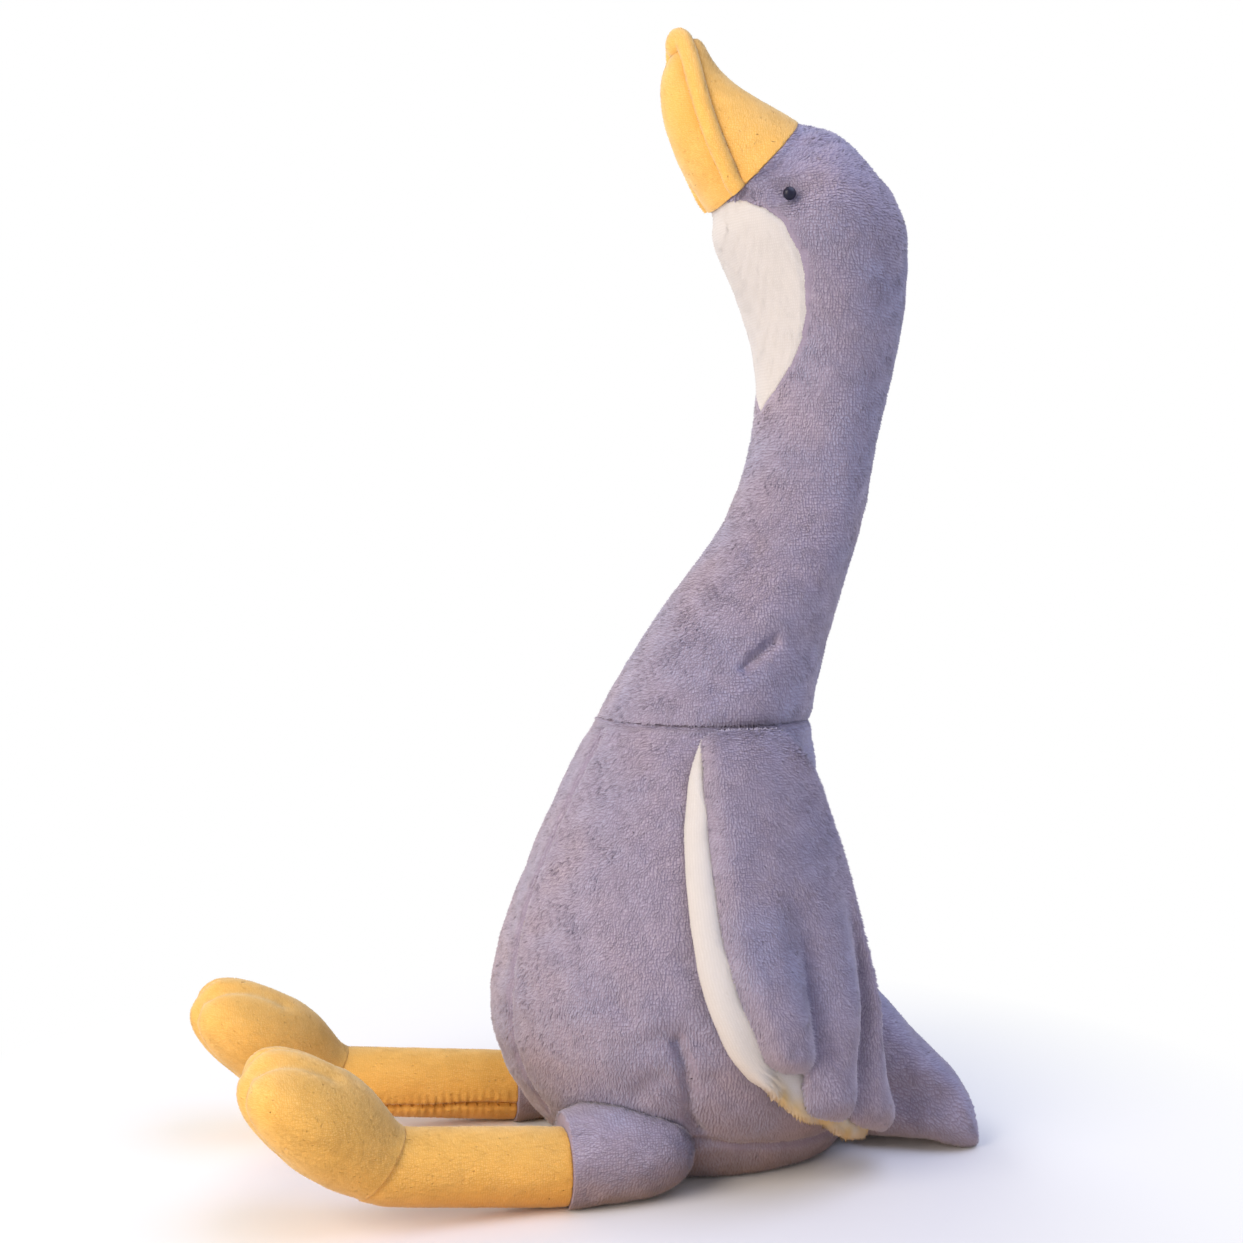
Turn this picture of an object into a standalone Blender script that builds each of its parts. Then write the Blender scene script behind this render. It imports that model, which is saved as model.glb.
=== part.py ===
"""A sitting plush goose: a stuffed body with a long neck, head and bill, wings, a tail, and two legs with feet.

The goose faces -Y and its left side is +X. It sits on Z = 0, with the origin under the middle of its body.
Every stuffed piece starts as a UV sphere whose rings are put on named sections along the piece.
"""

import math
from collections import namedtuple

import bmesh
import bpy
from mathutils import Matrix, Vector
from mathutils.bvhtree import BVHTree

# A section of a stuffed piece, in metres: the centre, the full width across X, the full depth, and the tilt of the
# section's normal from straight up towards the front, in degrees.
Section = namedtuple("Section", "x y z width depth tilt")

# Main sizes
BODY_WIDTH = 0.158
BODY_DEPTH = 0.165
COLLAR_HEIGHT = 0.183
COLLAR_WIDTH = 0.094
COLLAR_DEPTH = 0.097
NECK_LENGTH = 0.147
NECK_WIDTH = 0.058
HEAD_WIDTH = 0.082
HEAD_DEPTH = 0.086
BILL_LENGTH = 0.065
BILL_WIDTH = 0.054
BILL_DEPTH = 0.054
TAIL_LENGTH = 0.074
TAIL_HEIGHT = 0.040
TAIL_DEPTH = 0.080
TAIL_WIDTH = 0.072
TAIL_TIP_WIDTH = 0.092
LEG_LENGTH = 0.069
LEG_DIAMETER = 0.031
FOOT_LENGTH = 0.072
FOOT_WIDTH = 0.058
FOOT_THICKNESS = 0.043

# Seams and contacts
SEAM_GAP = 0.0003
SEAT_CUT = 0.006


def body_section(back, height, width, depth):
    """A level section of the body, with its place, width and depth as shares of the body's."""
    return Section(0.0, BODY_DEPTH * back, COLLAR_HEIGHT * height, BODY_WIDTH * width, BODY_DEPTH * depth, 0.0)


# Body, from the seat up to the collar
SEAT = body_section(0.048, 0.0, 0.49, 0.64)._replace(z=-SEAT_CUT)
HAUNCH = body_section(0.006, 0.11, 0.80, 0.92)
HIP = body_section(-0.070, 0.306, 1.0, 1.0)
BELLY = body_section(-0.073, 0.514, 0.925, 0.91)
CHEST = body_section(-0.0485, 0.732, 0.785, 0.765)
BREAST = body_section(-0.024, 0.885, 0.67, 0.655)

# Collar seam, and the neck above it
COLLAR = Section(0.0, 0.002, COLLAR_HEIGHT, COLLAR_WIDTH, COLLAR_DEPTH, 0.0)


def neck_section(back, up, width, depth, tilt):
    """A section of the neck, placed by shares of the neck's length, with its girth as shares of the neck's width."""
    y = NECK_LENGTH * back
    return Section(0.0, y, COLLAR_HEIGHT + NECK_LENGTH * up, NECK_WIDTH * width, NECK_WIDTH * depth, tilt)


SHOULDER = neck_section(0.092, 0.21, 1.43, 1.51, 4.0)
NECK_ROOT = neck_section(0.204, 0.43, 1.28, 1.35, 6.0)
NECK_BEND = neck_section(0.3095, 0.59, 1.06, 1.08, 4.0)
NECK = neck_section(0.355, 0.80, 1.0, 1.0, 2.0)
NECK_TOP = neck_section(0.391, 1.0, 1.07, 1.07, 2.0)


def head_section(forward, up, width, depth, tilt):
    """A section of the head, placed from the top of the neck by shares of its depth, with its girth as shares too."""
    y = NECK_TOP.y - HEAD_DEPTH * forward
    return Section(0.0, y, NECK_TOP.z + HEAD_DEPTH * up, HEAD_WIDTH * width, HEAD_DEPTH * depth, tilt)


# Head, whose sections fan round the throat
JAW = head_section(0.0035, 0.349, 0.90, 0.895, 3.0)
CHEEK = head_section(0.064, 0.674, 1.0, 1.0, 9.0)
CROWN = head_section(0.209, 0.893, 0.93, 0.89, 24.0)
BROW = head_section(0.300, 1.017, 0.78, 0.685, 38.0)

# Bill, from its seam with the head to the nub at its tip
BILL_SEAM = head_section(0.372, 1.052, 1.0, 1.0, 47.0)._replace(width=BILL_WIDTH, depth=BILL_DEPTH)


def bill_section(forward, up, width, depth, tilt):
    """A section of the bill, placed from its seam by shares of its length, with its girth as shares of the seam's."""
    y = BILL_SEAM.y - BILL_LENGTH * forward
    return Section(0.0, y, BILL_SEAM.z + BILL_LENGTH * up, BILL_WIDTH * width, BILL_DEPTH * depth, tilt)


BILL_ROOT = bill_section(0.13, 0.115, 0.925, 0.91, 47.0)
BILL_MIDDLE = bill_section(0.32, 0.285, 0.76, 0.72, 45.0)
BILL_FRONT = bill_section(0.457, 0.477, 0.575, 0.575, 40.0)
BILL_NOSE = bill_section(0.508, 0.67, 0.425, 0.465, 32.0)
BILL_NUB = bill_section(0.538, 0.808, 0.28, 0.24, 25.0)
MOUTH_POINT = (BILL_SEAM.y - BILL_LENGTH * 0.523, BILL_SEAM.z + BILL_LENGTH * 0.638)
MOUTH_CORNER = (BILL_SEAM.y - BILL_LENGTH * 0.231, BILL_SEAM.z - BILL_LENGTH * 0.125)

# Throat patch: heights above the top of the neck and half widths of its leaf outline, from its point up to the bill
THROAT_BACK = 0.040
THROAT_POINT = -0.0135
THROAT_LEAF = (
    (-0.005, 0.0115),
    (0.005, 0.0196),
    (0.015, 0.0247),
    (0.0265, 0.0287),
    (0.040, 0.0320),
    (0.050, 0.0330),
    (0.0615, 0.0315),
    (0.068, 0.0275),
)
THROAT_TOP = (0.0725, 0.0190)

# Eyes, placed behind the bill's seam and below it
EYE_DIAMETER = 0.0056
EYE_BACK = 0.0035
EYE_DROP = 0.0175
EYE_PROUD = 0.0012

# Wings, placed by the angle round the body from the front, in degrees, and by the heights of their lower edge
WING_FRONT_TOP = 91.0
WING_FRONT_MIDDLE = 88.0
WING_FRONT_LOW = 97.0
WING_BACK_TOP = 143.0
WING_BACK_MIDDLE = 155.0
WING_BACK_LOW = 151.0
WING_FLOOR_FRONT = 0.053
WING_FLOOR_MIDDLE = 0.019
WING_FLOOR_BACK = 0.011
WING_HANG_HEIGHT = 0.070
WING_OUTER_THICKNESS = 0.0072
WING_LINING_THICKNESS = 0.0050
WING_LINING_FORWARD = 8.0
WING_FLARE = 0.009
WING_CLEARANCE = 0.0001
WING_EDGE_FULLNESS = 0.06
WING_TOP_FULLNESS = 0.25
WING_FOOT_FULLNESS = 0.35
WING_FILL_RATE = 2.5
FEATHER_NOTCH = 0.012
FEATHERS = 3

# Tail
TAIL_ROOT_BACK = 0.046


def tail_section(along, height, width, depth, tilt):
    """A section of the tail, placed by a share of its length, with its height and depth as shares of the root's."""
    y = TAIL_ROOT_BACK + TAIL_LENGTH * along
    return Section(0.0, y, TAIL_HEIGHT * height, width, TAIL_DEPTH * depth, tilt)


TAIL_ROOT = tail_section(0.0, 1.0, TAIL_WIDTH, 1.0, -70.0)
TAIL_MIDDLE = tail_section(0.47, 0.75, TAIL_WIDTH, 0.775, -70.0)
TAIL_TAPER = tail_section(0.79, 0.45, TAIL_TIP_WIDTH, 0.46, -74.0)
TAIL_END = tail_section(1.0, 0.15, TAIL_TIP_WIDTH, 0.225, -82.0)

# Legs and feet
LEG_SPREAD = BODY_WIDTH * 0.67
FOOT_SPREAD = LEG_SPREAD + 0.006
LEG_HEIGHT = 0.0160
ANKLE_HEIGHT = 0.0230
HEM_FRONT = HIP.y - BODY_DEPTH * 0.355
ANKLE_FRONT = HEM_FRONT - LEG_LENGTH
RIGHT_FOOT_LEAD = 0.010
THIGH_DIAMETER = 0.041
THIGH_ROOT = -0.020
THIGH_HEIGHT = 0.0205
ANKLE_TILT = 72.0
FOOT_TILT = 52.0
TOE_NOTCH = 0.006
TOES = 3

# Finish of each material: colour, roughness
LILAC_PLUSH = ((0.30, 0.26, 0.37, 1.0), 0.95)
YELLOW_PLUSH = ((0.89, 0.50, 0.12, 1.0), 0.90)
WHITE_PLUSH = ((0.80, 0.75, 0.72, 1.0), 0.95)
BLACK_BEAD = ((0.012, 0.012, 0.020, 1.0), 0.12)

RING_SIDES = 16
SUBDIVISIONS = 1
WING_COLUMNS = 9
WING_ROWS = 5
BEAD_SIDES = 12


def clear_scene():
    for obj in list(bpy.data.objects):
        bpy.data.objects.remove(obj, do_unlink=True)


def new_collection(name, hidden=False):
    collection = bpy.data.collections.new(name)
    bpy.context.scene.collection.children.link(collection)
    collection.hide_render = hidden
    return collection


def material(name, finish):
    """A matt or glossy material, made once for each finish."""
    found = bpy.data.materials.get(name)
    if found:
        return found
    made = bpy.data.materials.new(name)
    made.use_nodes = True
    shader = made.node_tree.nodes["Principled BSDF"]
    shader.inputs["Base Color"].default_value = finish[0]
    shader.inputs["Roughness"].default_value = finish[1]
    made.diffuse_color = finish[0]
    return made


def object_from(bm, name, collection):
    bmesh.ops.recalc_face_normals(bm, faces=bm.faces)
    mesh = bpy.data.meshes.new(name)
    bm.to_mesh(mesh)
    bm.free()
    obj = bpy.data.objects.new(name, mesh)
    collection.objects.link(obj)
    return obj


def bake_modifiers(obj):
    """Gives the object its evaluated mesh, so that it can be cut by planes."""
    depsgraph = bpy.context.evaluated_depsgraph_get()
    mesh = bpy.data.meshes.new_from_object(obj.evaluated_get(depsgraph))
    obj.modifiers.clear()
    obj.data = mesh
    return obj


def subdivide(obj, levels=SUBDIVISIONS):
    modifier = obj.modifiers.new("Subdivision", "SUBSURF")
    modifier.levels = levels
    modifier.render_levels = levels
    return bake_modifiers(obj)


def grown(section, by):
    return section._replace(width=section.width + 2 * by, depth=section.depth + 2 * by)


def stuffed(name, sections, collection, grow=0.0, tip=0.25):
    """A stuffed form: a UV sphere with each ring on a section, its poles a share of the end sections' depth away."""
    sections = [grown(section, grow) for section in sections]
    # Subdivision draws a ring in, so the cage is made wider by as much.
    fullness = 3 / (2 + math.cos(2 * math.pi / RING_SIDES))
    bm = bmesh.new()
    bmesh.ops.create_uvsphere(bm, u_segments=RING_SIDES, v_segments=len(sections) + 1, radius=1.0)
    for vert in bm.verts:
        height = math.acos(max(-1.0, min(1.0, -vert.co.z))) / math.pi * (len(sections) + 1)
        index = round(height) - 1
        pole = index in (-1, len(sections))
        section = sections[max(0, min(len(sections) - 1, index))]
        normal = leaning(section.tilt)
        depth_axis = Vector((0, normal.z, -normal.y))
        centre = Vector(section[:3])
        if pole:
            reach = tip * min(section.depth, section.width)
            vert.co = centre + normal * (reach if index > 0 else -reach)
            continue
        angle = math.atan2(vert.co.y, vert.co.x)
        across = Vector((1, 0, 0)) * math.cos(angle) * section.width / 2
        deep = depth_axis * math.sin(angle) * section.depth / 2
        vert.co = centre + (across + deep) * fullness
    return subdivide(object_from(bm, name, collection))


def cut(obj, point, normal):
    """Keeps what lies behind the plane and closes the cut with one flat face."""
    bm = bmesh.new()
    bm.from_mesh(obj.data)
    geometry = bm.verts[:] + bm.edges[:] + bm.faces[:]
    found = bmesh.ops.bisect_plane(bm, geom=geometry, plane_co=point, plane_no=normal, clear_outer=True)
    edges = [item for item in found["geom_cut"] if isinstance(item, bmesh.types.BMEdge)]
    bmesh.ops.edgeloop_fill(bm, edges=edges)
    bmesh.ops.recalc_face_normals(bm, faces=bm.faces)
    bm.to_mesh(obj.data)
    bm.free()
    return obj


def carve(obj, cutter, operation="DIFFERENCE"):
    modifier = obj.modifiers.new(operation.title(), "BOOLEAN")
    modifier.operation = operation
    modifier.solver = "EXACT"
    modifier.object = cutter
    return bake_modifiers(obj)


def as_cutter(obj, cutters):
    for collection in list(obj.users_collection):
        collection.objects.unlink(obj)
    cutters.objects.link(obj)
    obj.hide_render = True
    obj.display_type = "WIRE"
    return obj


def finish(obj, name, surface):
    obj.name = name
    obj.data.name = name
    obj.data.materials.clear()
    obj.data.materials.append(surface)
    obj.data.shade_smooth()
    obj.data.set_sharp_from_angle(angle=math.radians(50))
    return obj


def leaning(tilt):
    """Straight up, leant towards the front by this many degrees."""
    return Vector((0, -math.sin(math.radians(tilt)), math.cos(math.radians(tilt))))


def body_sections():
    return [SEAT, HAUNCH, HIP, BELLY, CHEST, BREAST, COLLAR, SHOULDER, NECK_ROOT]


def neck_sections():
    below = [BREAST, COLLAR, SHOULDER, NECK_ROOT, NECK_BEND, NECK, NECK_TOP, JAW, CHEEK, CROWN, BROW]
    return below + [BILL_SEAM, BILL_ROOT, BILL_MIDDLE]


def bill_sections():
    return [BROW, BILL_SEAM, BILL_ROOT, BILL_MIDDLE, BILL_FRONT, BILL_NOSE, BILL_NUB]


def body(parts):
    """The pear-shaped body, flat where it sits and cut level at the collar seam."""
    obj = stuffed("body_form", body_sections(), parts)
    cut(obj, (0, 0, 0), (0, 0, -1))
    return cut(obj, (0, 0, COLLAR.z - SEAM_GAP / 2), (0, 0, 1))


def body_room(cutters):
    """The body with the seam gap added all round, which cuts whatever is sewn against it."""
    return as_cutter(stuffed("body_room", body_sections(), cutters, grow=SEAM_GAP * 1.5), cutters)


def neck_and_head(parts):
    """Neck and head as one stuffed tube, from the collar seam to the bill seam."""
    obj = stuffed("neck_form", neck_sections(), parts)
    cut(obj, (0, 0, COLLAR.z + SEAM_GAP / 2), (0, 0, -1))
    seam = Vector((0, BILL_SEAM.y, BILL_SEAM.z))
    normal = leaning(BILL_SEAM.tilt)
    return cut(obj, seam - normal * SEAM_GAP / 2, normal)


def throat_leaf(grow, collection):
    """A leaf outline facing the front, extruded back into the neck."""
    base = NECK_TOP.z
    right = [(width + grow, base + up) for up, width in THROAT_LEAF]
    top_up, top_width = THROAT_TOP
    right.append((top_width + grow, base + top_up + grow))
    left = [(-x, z) for x, z in reversed(right)]
    outline = [(0.0, base + THROAT_POINT - grow)] + right + left
    front = min(CHEEK.y - CHEEK.depth, BILL_SEAM.y - BILL_SEAM.depth)
    back = THROAT_BACK + grow
    bm = bmesh.new()
    face = bm.faces.new([bm.verts.new((x, front, z)) for x, z in outline])
    walls = bmesh.ops.extrude_face_region(bm, geom=[face])
    moved = [item for item in walls["geom"] if isinstance(item, bmesh.types.BMVert)]
    bmesh.ops.translate(bm, verts=moved, vec=(0, back - front, 0))
    return object_from(bm, "throat_leaf", collection)


def throat_patch(neck, parts, cutters):
    """The white patch is the part of the neck inside the leaf, and the neck keeps a seat for it."""
    patch = parts.objects[neck.name].copy()
    patch.data = neck.data.copy()
    parts.objects.link(patch)
    carve(patch, as_cutter(throat_leaf(0.0, cutters), cutters), "INTERSECT")
    carve(neck, as_cutter(throat_leaf(SEAM_GAP, cutters), cutters))
    return patch


def bill(parts):
    """The bill's two halves, cut apart along the mouth, from just past the head's seam to the nub."""
    along = Vector((0, MOUTH_CORNER[0] - MOUTH_POINT[0], MOUTH_CORNER[1] - MOUTH_POINT[1])).normalized()
    mouth_normal = Vector((0, along.z, -along.y))
    mouth = Vector((0, MOUTH_POINT[0], MOUTH_POINT[1]))
    seam = Vector((0, BILL_SEAM.y, BILL_SEAM.z))
    seam_normal = leaning(BILL_SEAM.tilt)
    halves = []
    for side in (-1, 1):
        obj = stuffed("bill_form", bill_sections(), parts, tip=0.3)
        cut(obj, seam + seam_normal * SEAM_GAP / 2, -seam_normal)
        halves.append(cut(obj, mouth - mouth_normal * side * SEAM_GAP / 2, mouth_normal * side))
    return halves


def head_width_at(y, z):
    """Half the head's width beside a point of its middle plane, from the nearest sections."""
    best = None
    sections = [JAW, CHEEK, CROWN, BROW, BILL_SEAM]
    for low, high in zip(sections, sections[1:]):
        for step in range(21):
            share = step / 20
            middle = Section(*(a + (b - a) * share for a, b in zip(low, high)))
            tilt = math.radians(middle.tilt)
            away = Vector((y - middle.y, z - middle.z))
            rise = away.dot(Vector((-math.sin(tilt), math.cos(tilt))))
            deep = away.dot(Vector((math.cos(tilt), math.sin(tilt)))) / (middle.depth / 2)
            if best is None or abs(rise) < best[0]:
                best = (abs(rise), middle.width / 2 * math.sqrt(max(0.0, 1 - deep * deep)))
    return best[1]


def eye(side, head, parts, cutters):
    """A bead sewn into the side of the head, with a pocket in the plush for it."""
    y, z = BILL_SEAM.y + EYE_BACK, BILL_SEAM.z - EYE_DROP
    x = side * (head_width_at(y, z) + EYE_PROUD - EYE_DIAMETER / 2)
    beads = []
    for grow, collection in ((0.0, parts), (SEAM_GAP, cutters)):
        bm = bmesh.new()
        radius = EYE_DIAMETER / 2 + grow
        bmesh.ops.create_uvsphere(bm, u_segments=BEAD_SIDES, v_segments=BEAD_SIDES // 2, radius=radius)
        bmesh.ops.rotate(bm, verts=bm.verts, cent=(0, 0, 0), matrix=Matrix.Rotation(math.radians(90), 3, "Y"))
        bmesh.ops.translate(bm, verts=bm.verts, vec=(x, y, z))
        beads.append(object_from(bm, "bead", collection))
    carve(head, as_cutter(beads[1], cutters))
    return beads[0]


def through(first, middle, last, share):
    """A smooth curve through three values, at a share of the way."""
    bend = 4 * middle - 2 * first - 2 * last
    return first + (last - first) * share + bend * share * (1 - share)


def wing_point(room, side, across, down, depth, forward=0.0):
    """A point of a wing: across from front to back, down from the collar, and its depth out from the body."""
    floor = through(WING_FLOOR_FRONT, WING_FLOOR_MIDDLE, WING_FLOOR_BACK, across)
    notch = FEATHER_NOTCH * (1 - abs(math.sin(math.pi * FEATHERS * across))) * down ** 3
    top = COLLAR.z - SEAM_GAP
    height = top - (top - floor - notch) * down
    front = through(WING_FRONT_TOP, WING_FRONT_MIDDLE, WING_FRONT_LOW, down) - forward
    back = through(WING_BACK_TOP, WING_BACK_MIDDLE, WING_BACK_LOW, down)
    angle = math.radians(front + (back - front) * across)
    outward = Vector((side * math.sin(angle), -math.cos(angle), 0))
    start = Vector((0, BELLY.y, max(height, WING_HANG_HEIGHT)))
    hit = room.ray_cast(start, outward)[0]
    return Vector((hit.x, hit.y, height)) + outward * (depth + WING_FLARE * down * down)


def slab(name, columns, rows, place, collection):
    """A grid extruded into a slab, each corner put in place from its shares across, down and through."""
    bm = bmesh.new()
    bmesh.ops.create_grid(bm, x_segments=columns, y_segments=rows, size=0.5)
    walls = bmesh.ops.extrude_face_region(bm, geom=bm.faces[:])
    raised = [item for item in walls["geom"] if isinstance(item, bmesh.types.BMVert)]
    bmesh.ops.translate(bm, verts=raised, vec=(0, 0, 1))
    for vert in bm.verts:
        vert.co = place(vert.co.x + 0.5, vert.co.y + 0.5, vert.co.z)
    return subdivide(object_from(bm, name, collection))


def pillow(across, down):
    """How full a padded panel is: thin at its edges and at the collar, full in the middle."""
    inner = WING_EDGE_FULLNESS + (1 - 2 * WING_EDGE_FULLNESS) * across
    edge = math.sin(math.pi * min(1.0, max(0.0, inner)))
    top = min(1.0, WING_TOP_FULLNESS + WING_FILL_RATE * down)
    foot = min(1.0, WING_FOOT_FULLNESS + WING_FILL_RATE * (1 - down))
    return math.sqrt(edge) * top * foot


def wing(side, parts, room):
    """A wing of two layers, plush outside and white lining next to the body."""
    surface = BVHTree.FromObject(room, bpy.context.evaluated_depsgraph_get())

    def lining_thickness(across, down):
        return WING_LINING_THICKNESS * (0.5 + 0.5 * pillow(across, down))

    def outer_place(across, down, through_layer):
        thick = WING_OUTER_THICKNESS * pillow(across, down)
        depth = WING_CLEARANCE + lining_thickness(across, down) + SEAM_GAP * 2 + thick * through_layer
        return wing_point(surface, side, across, down, depth)

    def lining_place(across, down, through_layer):
        depth = WING_CLEARANCE + lining_thickness(across, down) * through_layer
        return wing_point(surface, side, across, down, depth, WING_LINING_FORWARD * (1 - across))

    outer = slab("wing_outer_form", WING_COLUMNS, WING_ROWS, outer_place, parts)
    return outer, slab("wing_lining_form", WING_COLUMNS, WING_ROWS, lining_place, parts)


def tail(parts, room):
    """A wedge that leans back from the body and rests on its flat underside."""
    obj = stuffed("tail_form", [TAIL_ROOT, TAIL_MIDDLE, TAIL_TAPER, TAIL_END], parts, tip=0.3)
    cut(obj, (0, 0, SEAM_GAP), (0, 0, -1))
    return carve(obj, room)


def leg_centre(side, share):
    """The middle of a leg, from the hem of the thigh to the ankle. The right foot is pulled further forward."""
    spread = side * (LEG_SPREAD + (FOOT_SPREAD - LEG_SPREAD) * share) / 2
    ankle_front = ANKLE_FRONT - (RIGHT_FOOT_LEAD if side < 0 else 0.0)
    front = HEM_FRONT + (ankle_front - HEM_FRONT) * share
    return Vector((spread, front, LEG_HEIGHT + (ANKLE_HEIGHT - LEG_HEIGHT) * share))


def thigh(side, parts, room):
    """A stuffed stump sewn against the body, open towards the front for the leg."""
    hem = leg_centre(side, 0.0)
    top = THIGH_HEIGHT

    def at(y, z, share):
        return Section(hem.x, y, z, THIGH_DIAMETER * share, THIGH_DIAMETER * share, 90.0)

    sections = [
        at(THIGH_ROOT, top, 0.8),
        at(THIGH_ROOT * 0.6 + hem.y * 0.4, top, 1.0),
        at(THIGH_ROOT * 0.2 + hem.y * 0.8, top, 1.0),
        at(hem.y, (top + hem.z) / 2, 0.93),
        at(hem.y - LEG_DIAMETER / 2, hem.z, 0.9),
    ]
    obj = stuffed("thigh_form", sections, parts)
    cut(obj, (0, hem.y + SEAM_GAP / 2, 0), (0, -1, 0))
    return carve(cut(obj, (0, 0, SEAM_GAP), (0, 0, -1)), room)


def leg(side, parts, room):
    """A straight stuffed tube between the thigh's hem and the ankle seam, pressed against the body above it."""
    sections = []
    for share in (-0.2, 0.1, 0.5, 0.9, 1.3):
        x, y, z = leg_centre(side, share)
        sections.append(Section(x, y, z, LEG_DIAMETER, LEG_DIAMETER, 90.0))
    obj = stuffed("leg_form", sections, parts)
    normal = leaning(ANKLE_TILT)
    cut(obj, (0, HEM_FRONT - SEAM_GAP / 2, 0), (0, 1, 0))
    return carve(cut(obj, leg_centre(side, 1.0) - normal * SEAM_GAP / 2, normal), room)


def foot(side, parts):
    """A padded webbed foot, toes up, that swells from the ankle seam to the shallow notches between its toes."""
    ankle = leg_centre(side, 1.0)
    along = leaning(FOOT_TILT)

    def at(share, width, thickness, turned):
        return Section(*(ankle + along * FOOT_LENGTH * share), width, thickness, turned)

    sections = [
        at(-0.25, LEG_DIAMETER, LEG_DIAMETER, 90.0),
        at(0.0, LEG_DIAMETER, LEG_DIAMETER, ANKLE_TILT),
        at(0.25, (LEG_DIAMETER + FOOT_WIDTH) / 2, FOOT_THICKNESS, FOOT_TILT + 8),
        at(0.50, FOOT_WIDTH * 0.97, FOOT_THICKNESS, FOOT_TILT),
        at(0.75, FOOT_WIDTH, FOOT_THICKNESS * 0.86, FOOT_TILT),
        at(0.94, FOOT_WIDTH * 0.80, FOOT_THICKNESS * 0.55, FOOT_TILT),
    ]
    obj = stuffed("foot_form", sections, parts, tip=0.1)
    for vert in obj.data.vertices:
        reach = (vert.co - ankle).dot(along) / FOOT_LENGTH
        across = min(1.0, max(0.0, (vert.co.x - ankle.x) / FOOT_WIDTH + 0.5))
        notch = (1 - abs(math.sin(math.pi * TOES * across))) ** 2
        vert.co -= along * TOE_NOTCH * notch * max(0.0, min(1.0, (reach - 0.7) / 0.3))
    normal = leaning(ANKLE_TILT)
    return cut(obj, ankle + normal * SEAM_GAP / 2, -normal)


def main():
    clear_scene()
    parts = new_collection("plush_goose")
    cutters = new_collection("cutters", hidden=True)
    lilac = material("lilac_plush", LILAC_PLUSH)
    yellow = material("yellow_plush", YELLOW_PLUSH)
    white = material("white_plush", WHITE_PLUSH)
    black = material("black_bead", BLACK_BEAD)
    room = body_room(cutters)
    finish(body(parts), "body", lilac)
    neck = neck_and_head(parts)
    lower, upper = bill(parts)
    finish(lower, "lower_bill", yellow)
    finish(upper, "upper_bill", yellow)
    patch = throat_patch(neck, parts, cutters)
    for side, word in ((1, "left"), (-1, "right")):
        finish(eye(side, neck, parts, cutters), f"eye_{word}", black)
        outer, lining = wing(side, parts, room)
        finish(outer, f"wing_{word}_outer", lilac)
        finish(lining, f"wing_{word}_lining", white)
        finish(thigh(side, parts, room), f"thigh_{word}", lilac)
        finish(leg(side, parts, room), f"leg_{word}", yellow)
        finish(foot(side, parts), f"foot_{word}", yellow)
    finish(neck, "neck_and_head", lilac)
    finish(patch, "throat_patch", white)
    finish(tail(parts, room), "tail", lilac)


main()
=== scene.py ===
# %% [markdown]
# # A sitting plush goose
# The goose is sewn from short-pile plush: lilac for its body, neck, wings and tail, white for its throat and the
# linings of its wings, and a shorter yellow pile for its bill, legs and feet. This lesson starts from the plain
# solids of the goose and gives each one its stuffed form, its seams and its pile.

# %% Load the solids of the goose
import math

import bmesh
import bpy
import numpy as np
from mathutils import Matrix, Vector
from mathutils.bvhtree import BVHTree


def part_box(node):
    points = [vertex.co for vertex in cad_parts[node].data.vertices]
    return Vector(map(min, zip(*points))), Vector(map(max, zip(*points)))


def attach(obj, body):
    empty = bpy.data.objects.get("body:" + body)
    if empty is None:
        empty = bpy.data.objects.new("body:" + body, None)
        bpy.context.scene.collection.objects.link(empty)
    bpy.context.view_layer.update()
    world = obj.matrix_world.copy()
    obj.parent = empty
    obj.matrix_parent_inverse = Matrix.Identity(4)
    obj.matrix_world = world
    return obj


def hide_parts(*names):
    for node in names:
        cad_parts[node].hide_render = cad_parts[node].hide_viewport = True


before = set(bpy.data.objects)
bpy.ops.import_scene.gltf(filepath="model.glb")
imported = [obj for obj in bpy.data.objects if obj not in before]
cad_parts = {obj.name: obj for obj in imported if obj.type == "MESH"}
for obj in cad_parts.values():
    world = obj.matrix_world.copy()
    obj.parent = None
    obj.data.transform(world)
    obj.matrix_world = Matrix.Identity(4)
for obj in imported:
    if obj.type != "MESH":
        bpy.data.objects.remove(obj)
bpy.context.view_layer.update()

# %% [markdown]
# ## The camera
# The photograph was taken from the goose's left, a little in front of it and just above the middle of its neck. The
# camera stands 0.72 m away, close enough for the near leg to look clearly bigger than the far one.

# %% Set up the camera
CAMERA_AZIMUTH = math.radians(75.0)
CAMERA_RISE = math.radians(2.5)
CAMERA_DISTANCE = 0.72
CAMERA_AIM = Vector((0.0, -0.033, 0.227))
CAMERA_LENS = 49.24

back = Vector((
    math.sin(CAMERA_AZIMUTH) * math.cos(CAMERA_RISE),
    -math.cos(CAMERA_AZIMUTH) * math.cos(CAMERA_RISE),
    math.sin(CAMERA_RISE),
))
bpy.ops.object.camera_add(location=CAMERA_AIM + back * CAMERA_DISTANCE)
camera = bpy.context.object
camera.rotation_euler = (-back).to_track_quat("-Z", "Y").to_euler()
camera.data.lens = CAMERA_LENS
camera.data.sensor_width = 36.0
camera.data.clip_start = 0.01
bpy.context.scene.camera = camera
print("camera at", [round(x, 3) for x in camera.location])

# %% [markdown]
# ## Colours and nodes
# A colour is written as the hex value that a screen shows, and Blender works with linear light, so one function
# turns the first into the second. Another adds a node with its settings and links, so that a material reads as a list.

# %% Helpers for materials


def linear(code):
    """The linear colour of an sRGB hex value, with full alpha."""
    parts = [int(code[i:i + 2], 16) / 255 for i in (1, 3, 5)]
    return (*[c / 12.92 if c <= 0.04045 else ((c + 0.055) / 1.055) ** 2.4 for c in parts], 1.0)


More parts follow.
